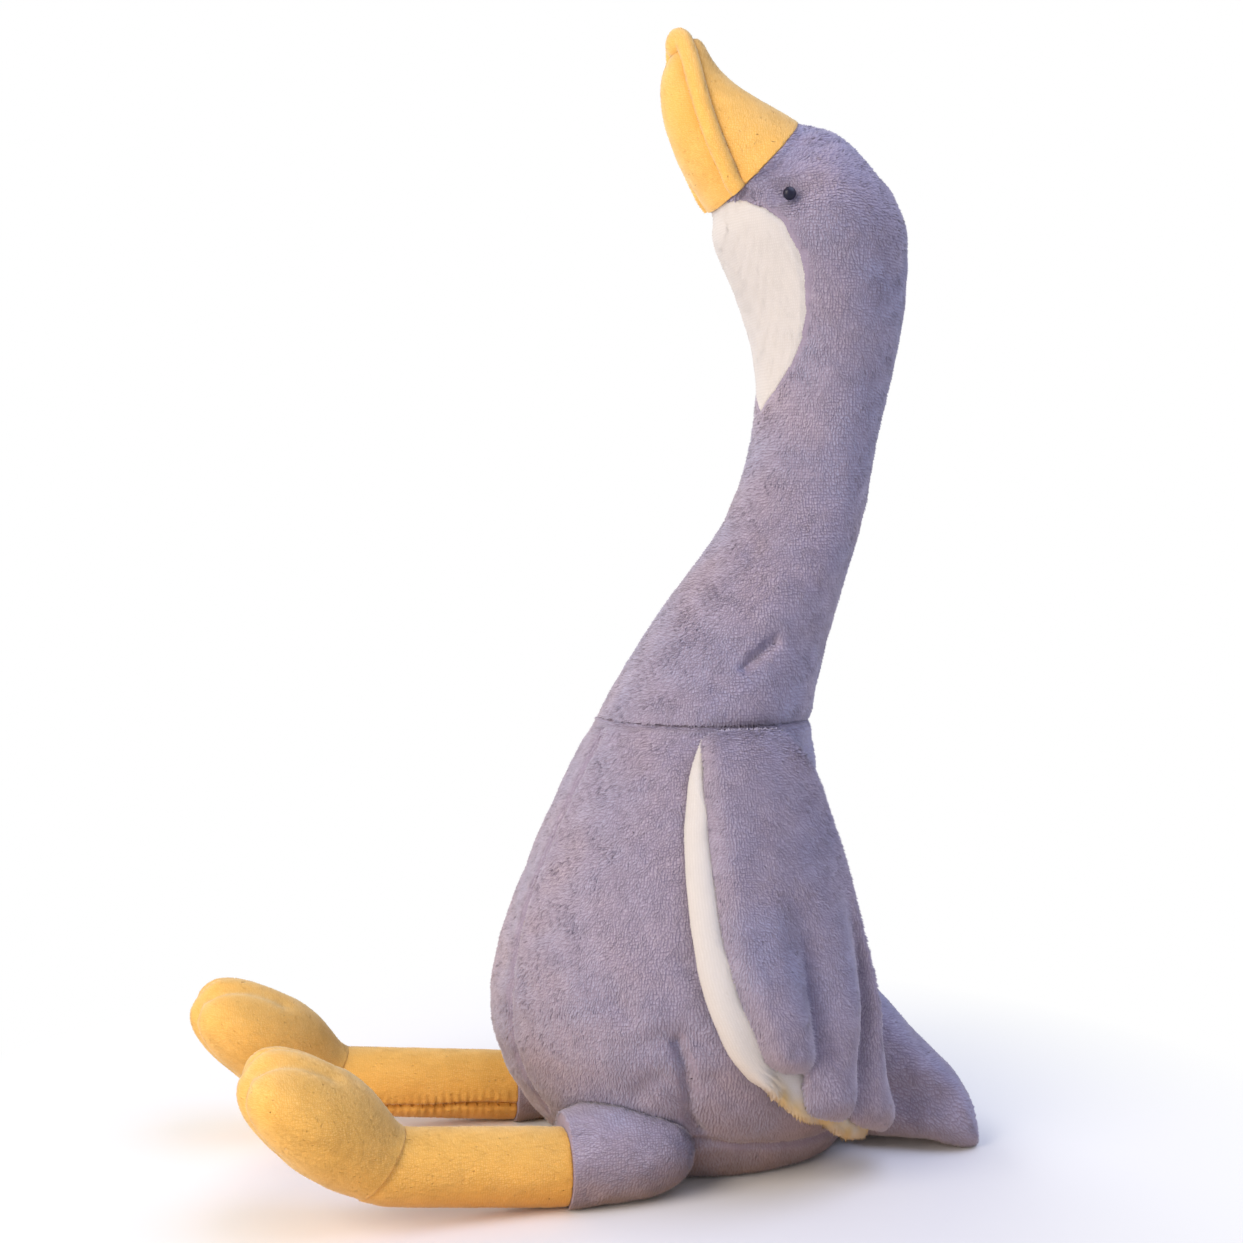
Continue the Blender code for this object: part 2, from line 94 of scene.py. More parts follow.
def add_node(tree, kind, settings=None, **inputs):
    """Adds a node. Each input takes a value or another node's output. It is given by its name, with underscores for
    spaces, or by an underscore and its number."""
    node = tree.nodes.new(kind)
    for name, value in (settings or {}).items():
        setattr(node, name, value)
    for name, value in inputs.items():
        socket = node.inputs[int(name[1:])] if name[1:].isdigit() else node.inputs[name.replace("_", " ")]
        if isinstance(value, bpy.types.NodeSocket):
            tree.links.new(value, socket)
        else:
            socket.default_value = value
    return node


def new_material(name):
    """A new material and its main shader."""
    made = bpy.data.materials.new(name)
    made.use_nodes = True
    return made, made.node_tree.nodes["Principled BSDF"]


# %% [markdown]
# ## The plush materials
# Plush is knitted polyester with a cut pile that stands up like a lawn. Each tuft is painted dark at its root and pale
# at its tip: painted shade for the deep spaces between the fibres. A soft sheen brightens the cloth where it turns
# away from the eye. The pile leans in patches, which gives mottles a few millimetres wide. Each fibre is 0.05 mm
# thick, too fine to show, so the finest grain is drawn at about 1 mm.

# %% Make the plush materials
MOTTLE_MM = 5.0
CLOUD_MM = 38.0
GRAIN_MM = 1.1


def plush(name, root, tip, cloud, painted_shade_and_tint, sheen_colour, sheen, mottle):
    """Short-pile polyester plush. root, tip and cloud are hex colours: between the fibres, where the darker root is
    painted shade, at their ends, in patches. Where the piece's attribute of painted shade and tint is 1, the colour is
    the last one given."""
    made, shader = new_material(name)
    tree = made.node_tree
    place = add_node(tree, "ShaderNodeTexCoord").outputs["Object"]
    height = add_node(tree, "ShaderNodeAttribute", {"attribute_name": "pile"}).outputs["Fac"]
    clouds = add_node(tree, "ShaderNodeTexNoise", Vector=place, Scale=1000 / CLOUD_MM, Detail=2.0)
    cloud_share = add_node(tree, "ShaderNodeMapRange", Value=clouds.outputs["Fac"], From_Min=0.35, From_Max=0.65)
    colours = {"data_type": "RGBA"}
    tips = add_node(
        tree, "ShaderNodeMix", colours, _0=cloud_share.outputs["Result"], _6=linear(tip), _7=linear(cloud),
    )
    # Painted shade: the darker root colour fills the pile between its fibres.
    stalk = add_node(tree, "ShaderNodeMix", colours, _0=height, _6=linear(root), _7=tips.outputs[2])
    # This attribute mixes in the last colour. It paints shade in folds, grooves and beside the mouth roll, and it also
    # gives the dark seam of each leg and the cream of the lining's wisps.
    shade_and_tint_share = add_node(tree, "ShaderNodeAttribute", {"attribute_name": "shade_and_tint_share"}).outputs["Fac"]
    stalk = add_node(tree, "ShaderNodeMix", colours, _0=shade_and_tint_share, _6=stalk.outputs[2], _7=linear(painted_shade_and_tint))
    mottles = add_node(tree, "ShaderNodeTexNoise", Vector=place, Scale=1000 / MOTTLE_MM, Detail=3.0, Roughness=0.6)
    grain = add_node(tree, "ShaderNodeTexNoise", Vector=place, Scale=1000 / GRAIN_MM, Detail=1.0)
    both = add_node(
        tree, "ShaderNodeMix", {"data_type": "FLOAT"},
        _0=0.35, _2=mottles.outputs["Fac"], _3=grain.outputs["Fac"],
    )
    level = add_node(
        tree, "ShaderNodeMapRange",
        Value=both.outputs[0], From_Min=0.32, From_Max=0.68, To_Min=1 - mottle, To_Max=1 + mottle,
    )
    scale = {"operation": "SCALE"}
    colour = add_node(tree, "ShaderNodeVectorMath", scale, _0=stalk.outputs[2], Scale=level.outputs["Result"])
    tree.links.new(colour.outputs[0], shader.inputs["Base Color"])
    shader.inputs["Roughness"].default_value = 0.95
    shader.inputs["Specular IOR Level"].default_value = 0.15
    shader.inputs["Sheen Weight"].default_value = sheen
    shader.inputs["Sheen Roughness"].default_value = 0.45
    shader.inputs["Sheen Tint"].default_value = linear(sheen_colour)
    return made


# The first colour of each plush is the root of its pile, which is painted shade between the fibres. The fourth is
# painted shade on the lilac. On the yellow it is painted shade beside the mouth roll and also the dark seam of each
# leg. On the white it is the cream of the lining's wisps.
LILAC = plush("lilac_polyester_plush", "#968b9f", "#bcb0bf", "#aeadc7", "#5d5672", "#fbf5f7", 0.35, 0.08)
WHITE = plush("white_polyester_plush", "#cfcbc8", "#dad6d3", "#d6d4d4", "#d9bf8c", "#ffffff", 0.10, 0.02)
YELLOW = plush("yellow_velboa_plush", "#eeb758", "#facb77", "#fbd084", "#b9782c", "#fff3da", 0.60, 0.05)
print("plush:", LILAC.name, WHITE.name, YELLOW.name)

# %% [markdown]
# ## Working on a mesh as a list of points
# A stuffed form is soft everywhere, so most of its shaping moves many points a little. These helpers read a piece's
# points and normals as arrays and put them back. Noise made from waves in many directions gives smooth random
# numbers that come out the same on every run.

# %% Helpers for points


def only(piece):
    """Makes the piece the one that is selected and active."""
    bpy.ops.object.select_all(action="DESELECT")
    piece.select_set(True)
    bpy.context.view_layer.objects.active = piece


def edit_whole(piece, operator, **settings):
    """Runs an editing operator on everything in the piece."""
    only(piece)
    bpy.ops.object.mode_set(mode="EDIT")
    bpy.ops.mesh.select_all(action="SELECT")
    operator(**settings)
    bpy.ops.object.mode_set(mode="OBJECT")


def points(piece):
    """Where the piece's points are, one row each."""
    found = np.empty(len(piece.data.vertices) * 3, np.float32)
    piece.data.vertices.foreach_get("co", found)
    return found.reshape(-1, 3).astype(float)


def put(piece, where):
    """Moves the piece's points to these places."""
    piece.data.vertices.foreach_set("co", np.asarray(where, np.float32).ravel())
    piece.data.update()


def outward(piece):
    """The surface's direction at each point."""
    found = np.empty(len(piece.data.vertices) * 3, np.float32)
    piece.data.vertex_normals.foreach_get("vector", found)
    return found.reshape(-1, 3).astype(float)


def unit(rows):
    """The rows with a length of 1."""
    return rows / np.maximum(np.linalg.norm(rows, axis=1, keepdims=True), 1e-9)


WAVES = 14
WAVE_GAIN = 2.2


def waves(where, size, seed):
    """Smooth noise of about -1 to 1 whose patches are about this wide, in metres."""
    dice = np.random.default_rng(seed)
    total = np.zeros(len(where))
    for _ in range(WAVES):
        way = unit(dice.normal(size=(1, 3)))[0] * 2 * math.pi / (size * dice.uniform(1.4, 3.0))
        total += np.sin(where @ way + dice.uniform(0, 2 * math.pi))
    return total / WAVES * WAVE_GAIN


def smoothstep(low, high, value):
    """0 below low, 1 above high, and an even ramp between them."""
    share = np.clip((value - low) / (high - low), 0, 1)
    return share * share * (3 - 2 * share)


def edge_ends(piece):
    """The numbers of the two points of each edge."""
    edges = np.empty(len(piece.data.edges) * 2, np.int32)
    piece.data.edges.foreach_get("vertices", edges)
    return edges.reshape(-1, 2)


def spacing(piece):
    """The length of the shortest edge at each point."""
    edges = edge_ends(piece)
    where = points(piece)
    length = np.linalg.norm(where[edges[:, 0]] - where[edges[:, 1]], axis=1)
    found = np.full(len(where), 1.0)
    for end in (0, 1):
        np.minimum.at(found, edges[:, end], length)
    return found


def near_path(where, path):
    """Each point's distance from a line through the path's points."""
    best = np.full(len(where), np.inf)
    path = np.asarray(path, float)
    for start, end in zip(path, path[1:]):
        along = end - start
        share = np.clip((where - start) @ along / (along @ along), 0, 1)
        gap = np.linalg.norm(where - start - share[:, None] * along, axis=1)
        best = np.minimum(best, gap)
    return best


# %% [markdown]
# ## From a solid to a stuffed form
# The solids are made of loose triangles. Each is copied, its doubles are merged, and the voxel remesh covers it with
# even squares. It is made slightly smaller, because the stuffing swells it again and the pile stands on top. Cloth
# with air pressure inside does the swelling: the seams are held, so the cloth rounds out between them as it does
# on the real toy.

# %% Helpers for stuffed forms
PILE_ROOM = 0.0016
SEAM_GAP = 0.0002
FRAMES = 20
OVERLONG = 0.006
FLOOR_GAP = 0.0004
FLOOR_BAND = 0.012
LEAN = 0.0035
LEAN_REACH = 0.0070
AIR_PRESSURE = 4.0
BENDING = 0.6


def even_squares(piece, size):
    """Covers the piece anew with even squares of this size."""
    only(piece)
    remesh = piece.modifiers.new("Even squares", "REMESH")
    remesh.mode = "VOXEL"
    remesh.voxel_size = size
    bpy.ops.object.modifier_apply(modifier=remesh.name)


def form_of(name, nodes, voxel, shrink, ends=(), smooth=4, overlong=OVERLONG):
    """One closed form of even squares round the named solids, made smaller by shrink all round. At each of its ends,
    given by the direction in which it faces, the form is made too long, to be cut off at its seam later."""
    shell = bmesh.new()
    for node in nodes:
        shell.from_mesh(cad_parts[node].data)
    bmesh.ops.remove_doubles(shell, verts=shell.verts, dist=1e-5)
    shell.normal_update()
    for way in ends:
        far = max(vert.co @ way for vert in shell.verts) - 0.0003
        cap = [f for f in shell.faces if f.normal @ way > 0.98 and f.calc_center_median() @ way > far]
        grown = bmesh.ops.extrude_face_region(shell, geom=cap)
        moved = [item for item in grown["geom"] if isinstance(item, bmesh.types.BMVert)]
        bmesh.ops.translate(shell, verts=moved, vec=way * overlong)
    mesh = bpy.data.meshes.new(name)
    shell.to_mesh(mesh)
    shell.free()
    piece = bpy.data.objects.new(name, mesh)
    bpy.context.scene.collection.objects.link(piece)
    even_squares(piece, voxel)
    keep_largest(piece)
    soften(piece, smooth)
    put(piece, points(piece) - outward(piece) * shrink)
    return piece


def seam_offset(node, way):
    """How far out along a direction a solid reaches: the place of the flat seam at its end."""
    return max(vert.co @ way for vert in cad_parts[node].data.vertices)


def cut_end(piece, way, offset):
    """Cuts the form off flat at its seam and closes it."""
    edit_whole(piece, bpy.ops.mesh.bisect, plane_co=way * offset, plane_no=way, clear_outer=True, use_fill=True)


def lean_on(piece, tree):
    """Moves the surface back against its neighbour, where the two are close."""
    where = points(piece)
    for i, point in enumerate(where):
        hit, _, _, gap = tree.find_nearest(Vector(point), LEAN_REACH)
        if hit is not None and gap > 1e-6:
            share = 1 - smoothstep(LEAN_REACH * 0.45, LEAN_REACH, gap)
            where[i] += (np.array(hit) - point) / gap * LEAN * share
    put(piece, where)


def rest_on_floor(piece):
    """Lets the underside sink until it touches the floor."""
    where = points(piece)
    low = where[:, 2].min()
    where[:, 2] -= (low - FLOOR_GAP) * (1 - smoothstep(low, low + FLOOR_BAND, where[:, 2]))
    put(piece, where)


def keep_largest(piece):
    """Deletes every loose part of the mesh but the one with the most points."""
    shell = bmesh.new()
    shell.from_mesh(piece.data)
    groups, seen = [], set()
    for start in shell.verts:
        if start in seen:
            continue
        group, todo = [], [start]
        seen.add(start)
        while todo:
            vert = todo.pop()
            group.append(vert)
            for edge in vert.link_edges:
                other = edge.other_vert(vert)
                if other not in seen:
                    seen.add(other)
                    todo.append(other)
        groups.append(group)
    groups.sort(key=len)
    for group in groups[:-1]:
        bmesh.ops.delete(shell, geom=group, context="VERTS")
    shell.to_mesh(piece.data)
    shell.free()


def soften(piece, repeat):
    """Evens the surface out, this many times."""
    edit_whole(piece, bpy.ops.mesh.vertices_smooth, factor=0.5, repeat=repeat)


def swell(piece, cap, held, slack=0.01):
    """Blows the form up as cloth with this much slack. Points where held is true stay, and none moves beyond cap."""
    start = points(piece)
    sewn = piece.vertex_groups.new(name="sewn")
    sewn.add([int(i) for i in np.flatnonzero(held)], 1.0, "REPLACE")
    cloth = piece.modifiers.new("Cloth", "CLOTH")
    settings = cloth.settings
    settings.use_pressure = True
    settings.uniform_pressure_force = AIR_PRESSURE
    settings.effector_weights.gravity = 0.0
    settings.vertex_group_mass = sewn.name
    settings.bending_stiffness = BENDING
    settings.shrink_min = -slack
    cloth.point_cache.frame_end = FRAMES
    for number in range(1, FRAMES + 1):
        bpy.context.scene.frame_set(number)
    only(piece)
    bpy.ops.object.modifier_apply(modifier=cloth.name)
    piece.vertex_groups.clear()
    bpy.context.scene.frame_set(1)
    move = points(piece) - start
    length = np.linalg.norm(move, axis=1)
    put(piece, start + move * np.minimum(1, cap / np.maximum(length, 1e-9))[:, None])
    soften(piece, 2)
    print(f"{piece.name}: cloth moved {1000 * np.median(length):.2f} mm, at most {1000 * length.max():.1f} mm")


def finer(piece):
    """Splits each square into four along a smooth surface."""
    only(piece)
    subdivide = piece.modifiers.new("Finer", "SUBSURF")
    subdivide.levels = 1
    subdivide.render_levels = 1
    bpy.ops.object.modifier_apply(modifier=subdivide.name)


def tree_of(piece):
    """A search tree of the piece's mesh, for rays and nearest points."""
    corners = [vert.co for vert in piece.data.vertices]
    return BVHTree.FromPolygons(corners, [face.vertices for face in piece.data.polygons])


def laid_on(piece, paths, step=0.004):
    """The paths in small steps, each point moved to the nearest place on the piece's surface."""
    tree = tree_of(piece)
    found = []
    for path in paths:
        rows = []
        for start, end in zip(path, path[1:]):
            start, end = np.asarray(start, float), np.asarray(end, float)
            count = max(1, round(np.linalg.norm(end - start) / step))
            rows += [start + (end - start) * k / count for k in range(count)]
        rows.append(np.asarray(path[-1], float))
        found.append([np.array(tree.find_nearest(Vector(p))[0]) for p in rows])
    return found


def sink(piece, paths, depth, width):
    """Draws the surface in along seams or creases."""
    where, normals = points(piece), outward(piece)
    share = np.zeros(len(where))
    for path in laid_on(piece, paths):
        share = np.maximum(share, np.exp(-(near_path(where, path) / width) ** 2))
    put(piece, where - normals * (depth * share)[:, None])


# %% [markdown]
# ## The pile
# The pile is real geometry. Each square of the finished form becomes a small tuft: poking the faces gives each one a
# point in its middle, and that point is drawn out and leant along the nap, the way the pile was brushed. The tufts
# share their roots, so the coat stays one closed skin. Lengths and directions vary, in patches and from tuft to
# tuft, and a pile attribute of 0 at the root and 1 at the tip lets the material paint the roots darker: painted
# shade between the fibres. The map is unwrapped before the tufts are drawn out, while the surface is still smooth.

# %% Grow the pile
ROOT_SCATTER = 0.32
LINING_SCATTER = 0.12
YELLOW_SCATTER = 0.40
CLUMP = 0.006
LILAC_PILE = 0.0015
WHITE_PILE = 0.0006
YELLOW_PILE = 0.0007
YELLOW_ROOM = 0.0012
LILAC_COAT = {"length": LILAC_PILE, "lean": 45}
YELLOW_COAT = {"length": YELLOW_PILE, "lean": 40, "soft": 0.8, "scatter": YELLOW_SCATTER}


def grow_pile(piece, length, lean, nap, seed, trim=None, bare=None, soft=0.7, shade_and_tint_share=None, scatter=ROOT_SCATTER):
    """length in metres, lean in degrees from upright, nap(points) gives directions, trim(points) shares of the length,
    bare(points, normals) where no pile grows, and the share function for the material's last colour, which paints
    shade and also gives tint. soft is how far a tuft is shaded as the smooth cloth under it."""
    dice = np.random.default_rng(seed)
    piece.data.uv_layers.new(name="OFBake")
    bpy.context.tool_settings.mesh_select_mode = (False, False, True)
    edit_whole(piece, bpy.ops.uv.smart_project, angle_limit=1.15, island_margin=0.004, scale_to_bounds=True)
    roots = len(piece.data.vertices)
    where, smooth_normals = points(piece), outward(piece)
    shake = dice.normal(size=where.shape).clip(-1.5, 1.5) * (spacing(piece) * scatter)[:, None]
    shake -= smooth_normals * (shake * smooth_normals).sum(1, keepdims=True)
    put(piece, where + shake)
    centres = np.array([face.center for face in piece.data.polygons])
    facing = np.array([face.normal for face in piece.data.polygons])
    chosen = np.ones(len(centres), bool) if bare is None else ~bare(centres, facing)
    piece.data.polygons.foreach_set("select", chosen)
    bpy.ops.object.mode_set(mode="EDIT")
    bpy.ops.mesh.poke(offset=0.0)
    bpy.ops.object.mode_set(mode="OBJECT")
    where = points(piece)
    up = outward(piece)[roots:]
    tips = where[roots:]
    way = nap(tips)
    way = unit(way - up * (way * up).sum(1, keepdims=True))
    side = np.cross(up, way)
    turn = 0.5 * waves(tips, CLUMP, seed + 1) + dice.normal(size=len(tips)) * 0.25
    way = way * np.cos(turn)[:, None] + side * np.sin(turn)[:, None]
    tilt = np.radians(lean * (1 + 0.25 * waves(tips, CLUMP, seed + 2)) + dice.normal(size=len(tips)) * 5)
    tall = length * (1 + 0.15 * waves(tips, CLUMP, seed + 3) + dice.normal(size=len(tips)) * 0.10)
    if trim is not None:
        tall = tall * trim(tips)
    reach = up * np.cos(tilt)[:, None] + way * np.sin(tilt)[:, None]
    where[roots:] = tips + reach * np.maximum(tall, 0.0001)[:, None]
    where[:, 2] = np.maximum(where[:, 2], 0.0002)
    put(piece, where)
    pile = piece.data.attributes.new("pile", "FLOAT", "POINT")
    level = np.zeros(len(where), np.float32)
    level[roots:] = np.clip(tall / length, 0.15, 1.3)
    pile.data.foreach_set("value", level)
    # At each point, the share of the material's last colour, which paints shade in folds and grooves and also gives
    # dark seams and cream wisps.
    if shade_and_tint_share is not None:
        painted_shade_and_tint = piece.data.attributes.new("shade_and_tint_share", "FLOAT", "POINT")
        painted_shade_and_tint.data.foreach_set("value", np.clip(shade_and_tint_share(where), 0, 1).astype(np.float32))
    piece.data.shade_smooth()
    smooth_normals = np.concatenate([smooth_normals, up])
    mixed = unit(outward(piece) * (1 - soft) + smooth_normals * soft)
    piece.data.normals_split_custom_set_from_vertices(mixed.tolist())


def brushed(*way):
    """A nap that runs the same way all over a piece."""
    return lambda where: np.tile(way, (len(where), 1))


falling = brushed(0.0, 0.05, -1.0)
forward = brushed(0.0, -1.0, -0.15)


def dress(piece, material, nodes):
    """Gives the piece its material, hangs it from the root and hides the solids that it replaces."""
    piece.data.materials.clear()
    piece.data.materials.append(material)
    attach(piece, "root")
    if nodes:
        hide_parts(*nodes)
    print(f"{piece.name}: {sum(len(f.vertices) - 2 for f in piece.data.polygons)} triangles")


# %% [markdown]
# ## Places on the body, and the flat seams
# A seam on the body is easiest to give by the angle round it, from the front, and the height. A ray from the body's
# axis finds the surface there. The collar is drawn 3.4 mm above the one of the solids, as in the photograph. The
# pieces are sewn to each other end to end, so each flat seam has a direction and a distance along it, both read from
# the solids.

# %% Find places on the body
AXIS_Y = -0.012
UP = Vector((0, 0, 1))
BILL_TILT = math.radians(47.0)
ANKLE_TILT = math.radians(72.0)
BILL_WAY = Vector((0, -math.sin(BILL_TILT), math.cos(BILL_TILT)))
ANKLE_WAY = Vector((0, -math.sin(ANKLE_TILT), math.cos(ANKLE_TILT)))
HEM_WAY = Vector((0, -1, 0))
BODY_TOP = seam_offset("body", UP)
COLLAR = BODY_TOP + 0.0034
BILL_SEAM = seam_offset("neck_and_head", BILL_WAY)
HEM = seam_offset("thigh_left", HEM_WAY)

body_tree = tree_of(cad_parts["body"])


def outwards_at(angle):
    """The level direction away from the body's axis at this angle."""
    return Vector((math.sin(math.radians(angle)), -math.cos(math.radians(angle)), 0))


def on_body(angle, height):
    """The point of the body's surface at this angle from the front and this height."""
    start = Vector((0, AXIS_Y, min(height, BODY_TOP - 0.001)))
    return np.array(body_tree.ray_cast(start, outwards_at(angle))[0])


def mirrored(path):
    """The same path on the goose's other side."""
    return [np.asarray(p, float) * np.array([-1, 1, 1]) for p in path]


def beyond(where, way, offset):
    """How far past a flat seam each point is."""
    return where @ np.array(way) - offset


print("collar seam", round(1000 * COLLAR, 1), "bill seam", round(1000 * BILL_SEAM, 1), "hem", round(1000 * HEM, 1))

# %% [markdown]
# ## The body
# The body is a pear. Its front seam runs down from the collar, a little to the goose's left, and a dart and the
# seam of the base panel draw it in behind the thigh. The cloth is held at the collar, along these seams and where
# it rests, and swells between them.

# %% Make the body
FRONT_SEAM = [(15, 0.182), (11, 0.157), (10, 0.141), (8, 0.120), (10, 0.103), (13, 0.078), (15, 0.049), (19, 0.028)]
DART = [(76, 0.066), (78, 0.058), (80, 0.045), (81, 0.031), (85, 0.0236)]
BASE_SEAM = [(60, 0.018), (86, 0.020), (102, 0.0168), (125, 0.0135), (150, 0.013)]
DIMPLES = [((79, 0.098), (82, 0.094)), ((58, 0.081), (61, 0.077))]
PUCKERS = [((70, 0.052), (64, 0.044)), ((88, 0.050), (95, 0.040))]
SEAM_HOLD = 0.0035
SEAM_DEPTH = 0.0016
SEAM_WIDTH = 0.0020
COLLAR_DEPTH = 0.0011
COLLAR_WIDTH = 0.0025
BACK_LIFT = 0.0028
BACK_HEIGHT = 0.160
BACK_REACH = 0.018
BODY_SQUARE = 0.0026

body = form_of("body_plush", ["body"], BODY_SQUARE, PILE_ROOM + 0.0010, [UP])
where = points(body)
front_seam = [on_body(*at) for at in FRONT_SEAM]
dart, base_seam = [on_body(*at) for at in DART], [on_body(*at) for at in BASE_SEAM]
seams = [front_seam, dart, mirrored(dart), base_seam, mirrored(base_seam)]
held = (where[:, 2] < 0.0045) | (where[:, 2] > COLLAR - 0.002)
for path in laid_on(body, seams):
    held |= near_path(where, path) < SEAM_HOLD
swell(body, cap=0.0022, held=held)
where = points(body)
hump = smoothstep(0.015, 0.035, where[:, 1]) * np.exp(-((where[:, 2] - BACK_HEIGHT) / BACK_REACH) ** 2)
put(body, where + outward(body) * (BACK_LIFT * hump)[:, None])
rest_on_floor(body)
finer(body)
sink(body, [front_seam], SEAM_DEPTH, SEAM_WIDTH)
sink(body, [dart, mirrored(dart)], depth=0.0016, width=0.0080)
sink(body, [dart, mirrored(dart)], depth=0.0034, width=0.0024)
sink(body, [base_seam, mirrored(base_seam)], SEAM_DEPTH, SEAM_WIDTH)
pairs = [[on_body(*at) for at in pair] for pair in DIMPLES + PUCKERS]
sink(body, pairs + [mirrored(pair) for pair in pairs], depth=0.0014, width=0.0045)
collar_path = [on_body(angle, COLLAR) + (0, 0, COLLAR - BODY_TOP) for angle in range(0, 361, 8)]
sink(body, [collar_path], COLLAR_DEPTH, COLLAR_WIDTH)
seams = laid_on(body, seams)
cut_end(body, UP, COLLAR)


def body_trim(where):
    """Shorter pile along the seams."""
    share = np.ones(len(where))
    for path in seams:
        share *= 1 - 0.6 * np.exp(-(near_path(where, path) / 0.0018) ** 2)
    return share


def hidden_in_body(where, facing):
    """The cut at the collar and the flat of the seat."""
    top = (where[:, 2] > COLLAR - 0.001) & (facing[:, 2] > 0.9)
    return top | ((where[:, 2] < 0.004) & (facing[:, 2] < -0.9))


grow_pile(body, **LILAC_COAT, nap=falling, seed=11, trim=body_trim, bare=hidden_in_body)
dress(body, LILAC, ["body"])

# %% [markdown]
# ## The neck and head
# Neck and head are one tube that ends at the bill. It is swollen together with the throat, so that the white patch
# lies in the same curve, and then drawn in under the patch.

# %% Make the neck and head
THROAT_HEIGHTS = [0.3165, 0.325, 0.335, 0.345, 0.3566, 0.370, 0.380, 0.3915, 0.398, 0.4025, 0.4050]
THROAT_HALF_WIDTHS = [0.0, 0.0115, 0.0196, 0.0247, 0.0287, 0.0320, 0.0330, 0.0318, 0.0275, 0.0190, 0.0]
THROAT_DEPTH_LIMIT = 0.040
NECK_CREASE = [(0.0420, 0.0080, 0.2105), (0.0420, 0.0150, 0.2150), (0.0400, 0.0230, 0.2205)]
NECK_FOLD = [
    (0.0400, -0.0040, 0.2040), (0.0420, 0.0130, 0.2135), (0.0400, 0.0260, 0.2220), (0.0330, 0.0400, 0.2210),
]
CROWN_LIFT = 0.0032
NAPE_NOTCH = [(-0.012, 0.0665, 0.4130), (0.0, 0.0670, 0.4135), (0.012, 0.0665, 0.4130)]
CHEEK = [(0.0240, 0.0150, 0.4130), (0.0280, 0.0240, 0.4140)]
NECK_DIMPLE = [(0.0300, 0.0110, 0.2620), (0.0300, 0.0125, 0.2640)]


def half_leaf(height):
    """Half the width of the throat patch at this height."""
    return np.interp(height, THROAT_HEIGHTS, THROAT_HALF_WIDTHS, left=0, right=0)


def inside_throat(where):
    """How far inside the leaf of the throat patch each point is, across the goose, in metres."""
    half = half_leaf(where[:, 2])
    depth = half - np.abs(where[:, 0])
    depth[(where[:, 1] > THROAT_DEPTH_LIMIT) | (half <= 0)] = -1
    return depth


def onto_leaf(piece, chosen):
    """Moves the chosen points onto the leaf's outline."""
    where = points(piece)
    depth = inside_throat(where)
    step = 0.0002
    slope = (half_leaf(where[chosen, 2] + step) - half_leaf(where[chosen, 2] - step)) / (2 * step)
    size = depth[chosen] / (1 + slope ** 2)
    where[chosen, 0] += size * np.sign(where[chosen, 0])
    where[chosen, 2] -= size * slope
    put(piece, where)


def snap_to_leaf(piece):
    """Moves the points next to the leaf's outline onto it, so that faces can be parted cleanly there."""
    depth = inside_throat(points(piece))
    first, second = edge_ends(piece).T
    crossing = (depth[first] * depth[second] < 0) & (depth[first] > -0.5) & (depth[second] > -0.5)
    first, second = first[crossing], second[crossing]
    onto_leaf(piece, np.unique(np.where(np.abs(depth[first]) < np.abs(depth[second]), first, second)))


neck_nodes = ["neck_and_head", "throat_patch"]
neck = form_of("neck_head_plush", neck_nodes, BODY_SQUARE, PILE_ROOM + 0.0010, [-UP, BILL_WAY])
where = points(neck)
held = (where[:, 2] < COLLAR + 0.002) | (beyond(where, BILL_WAY, BILL_SEAM) > -0.002)
swell(neck, cap=0.0018, held=held)
where = points(neck)
crown = smoothstep(0.372, 0.400, where[:, 2]) * smoothstep(0.022, 0.050, where[:, 1])
crown *= smoothstep(0.001, -0.009, beyond(where, BILL_WAY, BILL_SEAM))
put(neck, where + outward(neck) * (CROWN_LIFT * crown)[:, None])
finer(neck)
NECK_CREASES = [
    (NECK_FOLD, 0.0010, 0.0055), (NECK_CREASE, 0.0026, 0.0022), (mirrored(NECK_CREASE), 0.0014, 0.0040),
    (NECK_DIMPLE, 0.0016, 0.0040), (NAPE_NOTCH, 0.0018, 0.0060), (collar_path, COLLAR_DEPTH, COLLAR_WIDTH),
]
for path, depth, width in NECK_CREASES:
    sink(neck, [path], depth, width)
neck_crease = laid_on(neck, [NECK_CREASE])[0]
snap_to_leaf(neck)
PATCH_SEAT = 0.0030
throat = neck.copy()
throat.data = neck.data.copy()
throat.name = "throat_patch_plush"
bpy.context.scene.collection.objects.link(throat)
depth = inside_throat(points(neck))
put(neck, points(neck) - outward(neck) * (PATCH_SEAT * smoothstep(-0.0003, 0.0018, depth))[:, None])

# %% [markdown]
# ## The eyes
# Each eye is a small glossy bead of black plastic, sewn on so tightly that the plush dimples round it.

# %% Make the eyes
BEAD_FLATNESS = 0.8
EYE_DIMPLE_DEPTH = 0.0020
EYE_DIMPLE_WIDTH = 0.0080
beads = {}
for side in ("left", "right"):
    low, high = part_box(f"eye_{side}")
    centre, radius = np.array(low + high) / 2, (high[2] - low[2]) / 2
    bpy.ops.object.select_all(action="DESELECT")
    bpy.ops.mesh.primitive_uv_sphere_add(segments=32, ring_count=20, radius=radius, location=centre)
    bead = bpy.context.object
    bead.name = f"eye_bead_{side}"
    edit_whole(bead, bpy.ops.transform.resize, value=(BEAD_FLATNESS, 1, 1))
    bpy.ops.object.transform_apply(location=True, rotation=True, scale=True)
    bpy.ops.object.shade_smooth()
    beads[side] = (bead, centre, radius)
    away = np.linalg.norm(points(neck) - centre, axis=1)
    dimple = EYE_DIMPLE_DEPTH * np.exp(-(away / EYE_DIMPLE_WIDTH) ** 2)
    put(neck, points(neck) - outward(neck) * dimple[:, None])

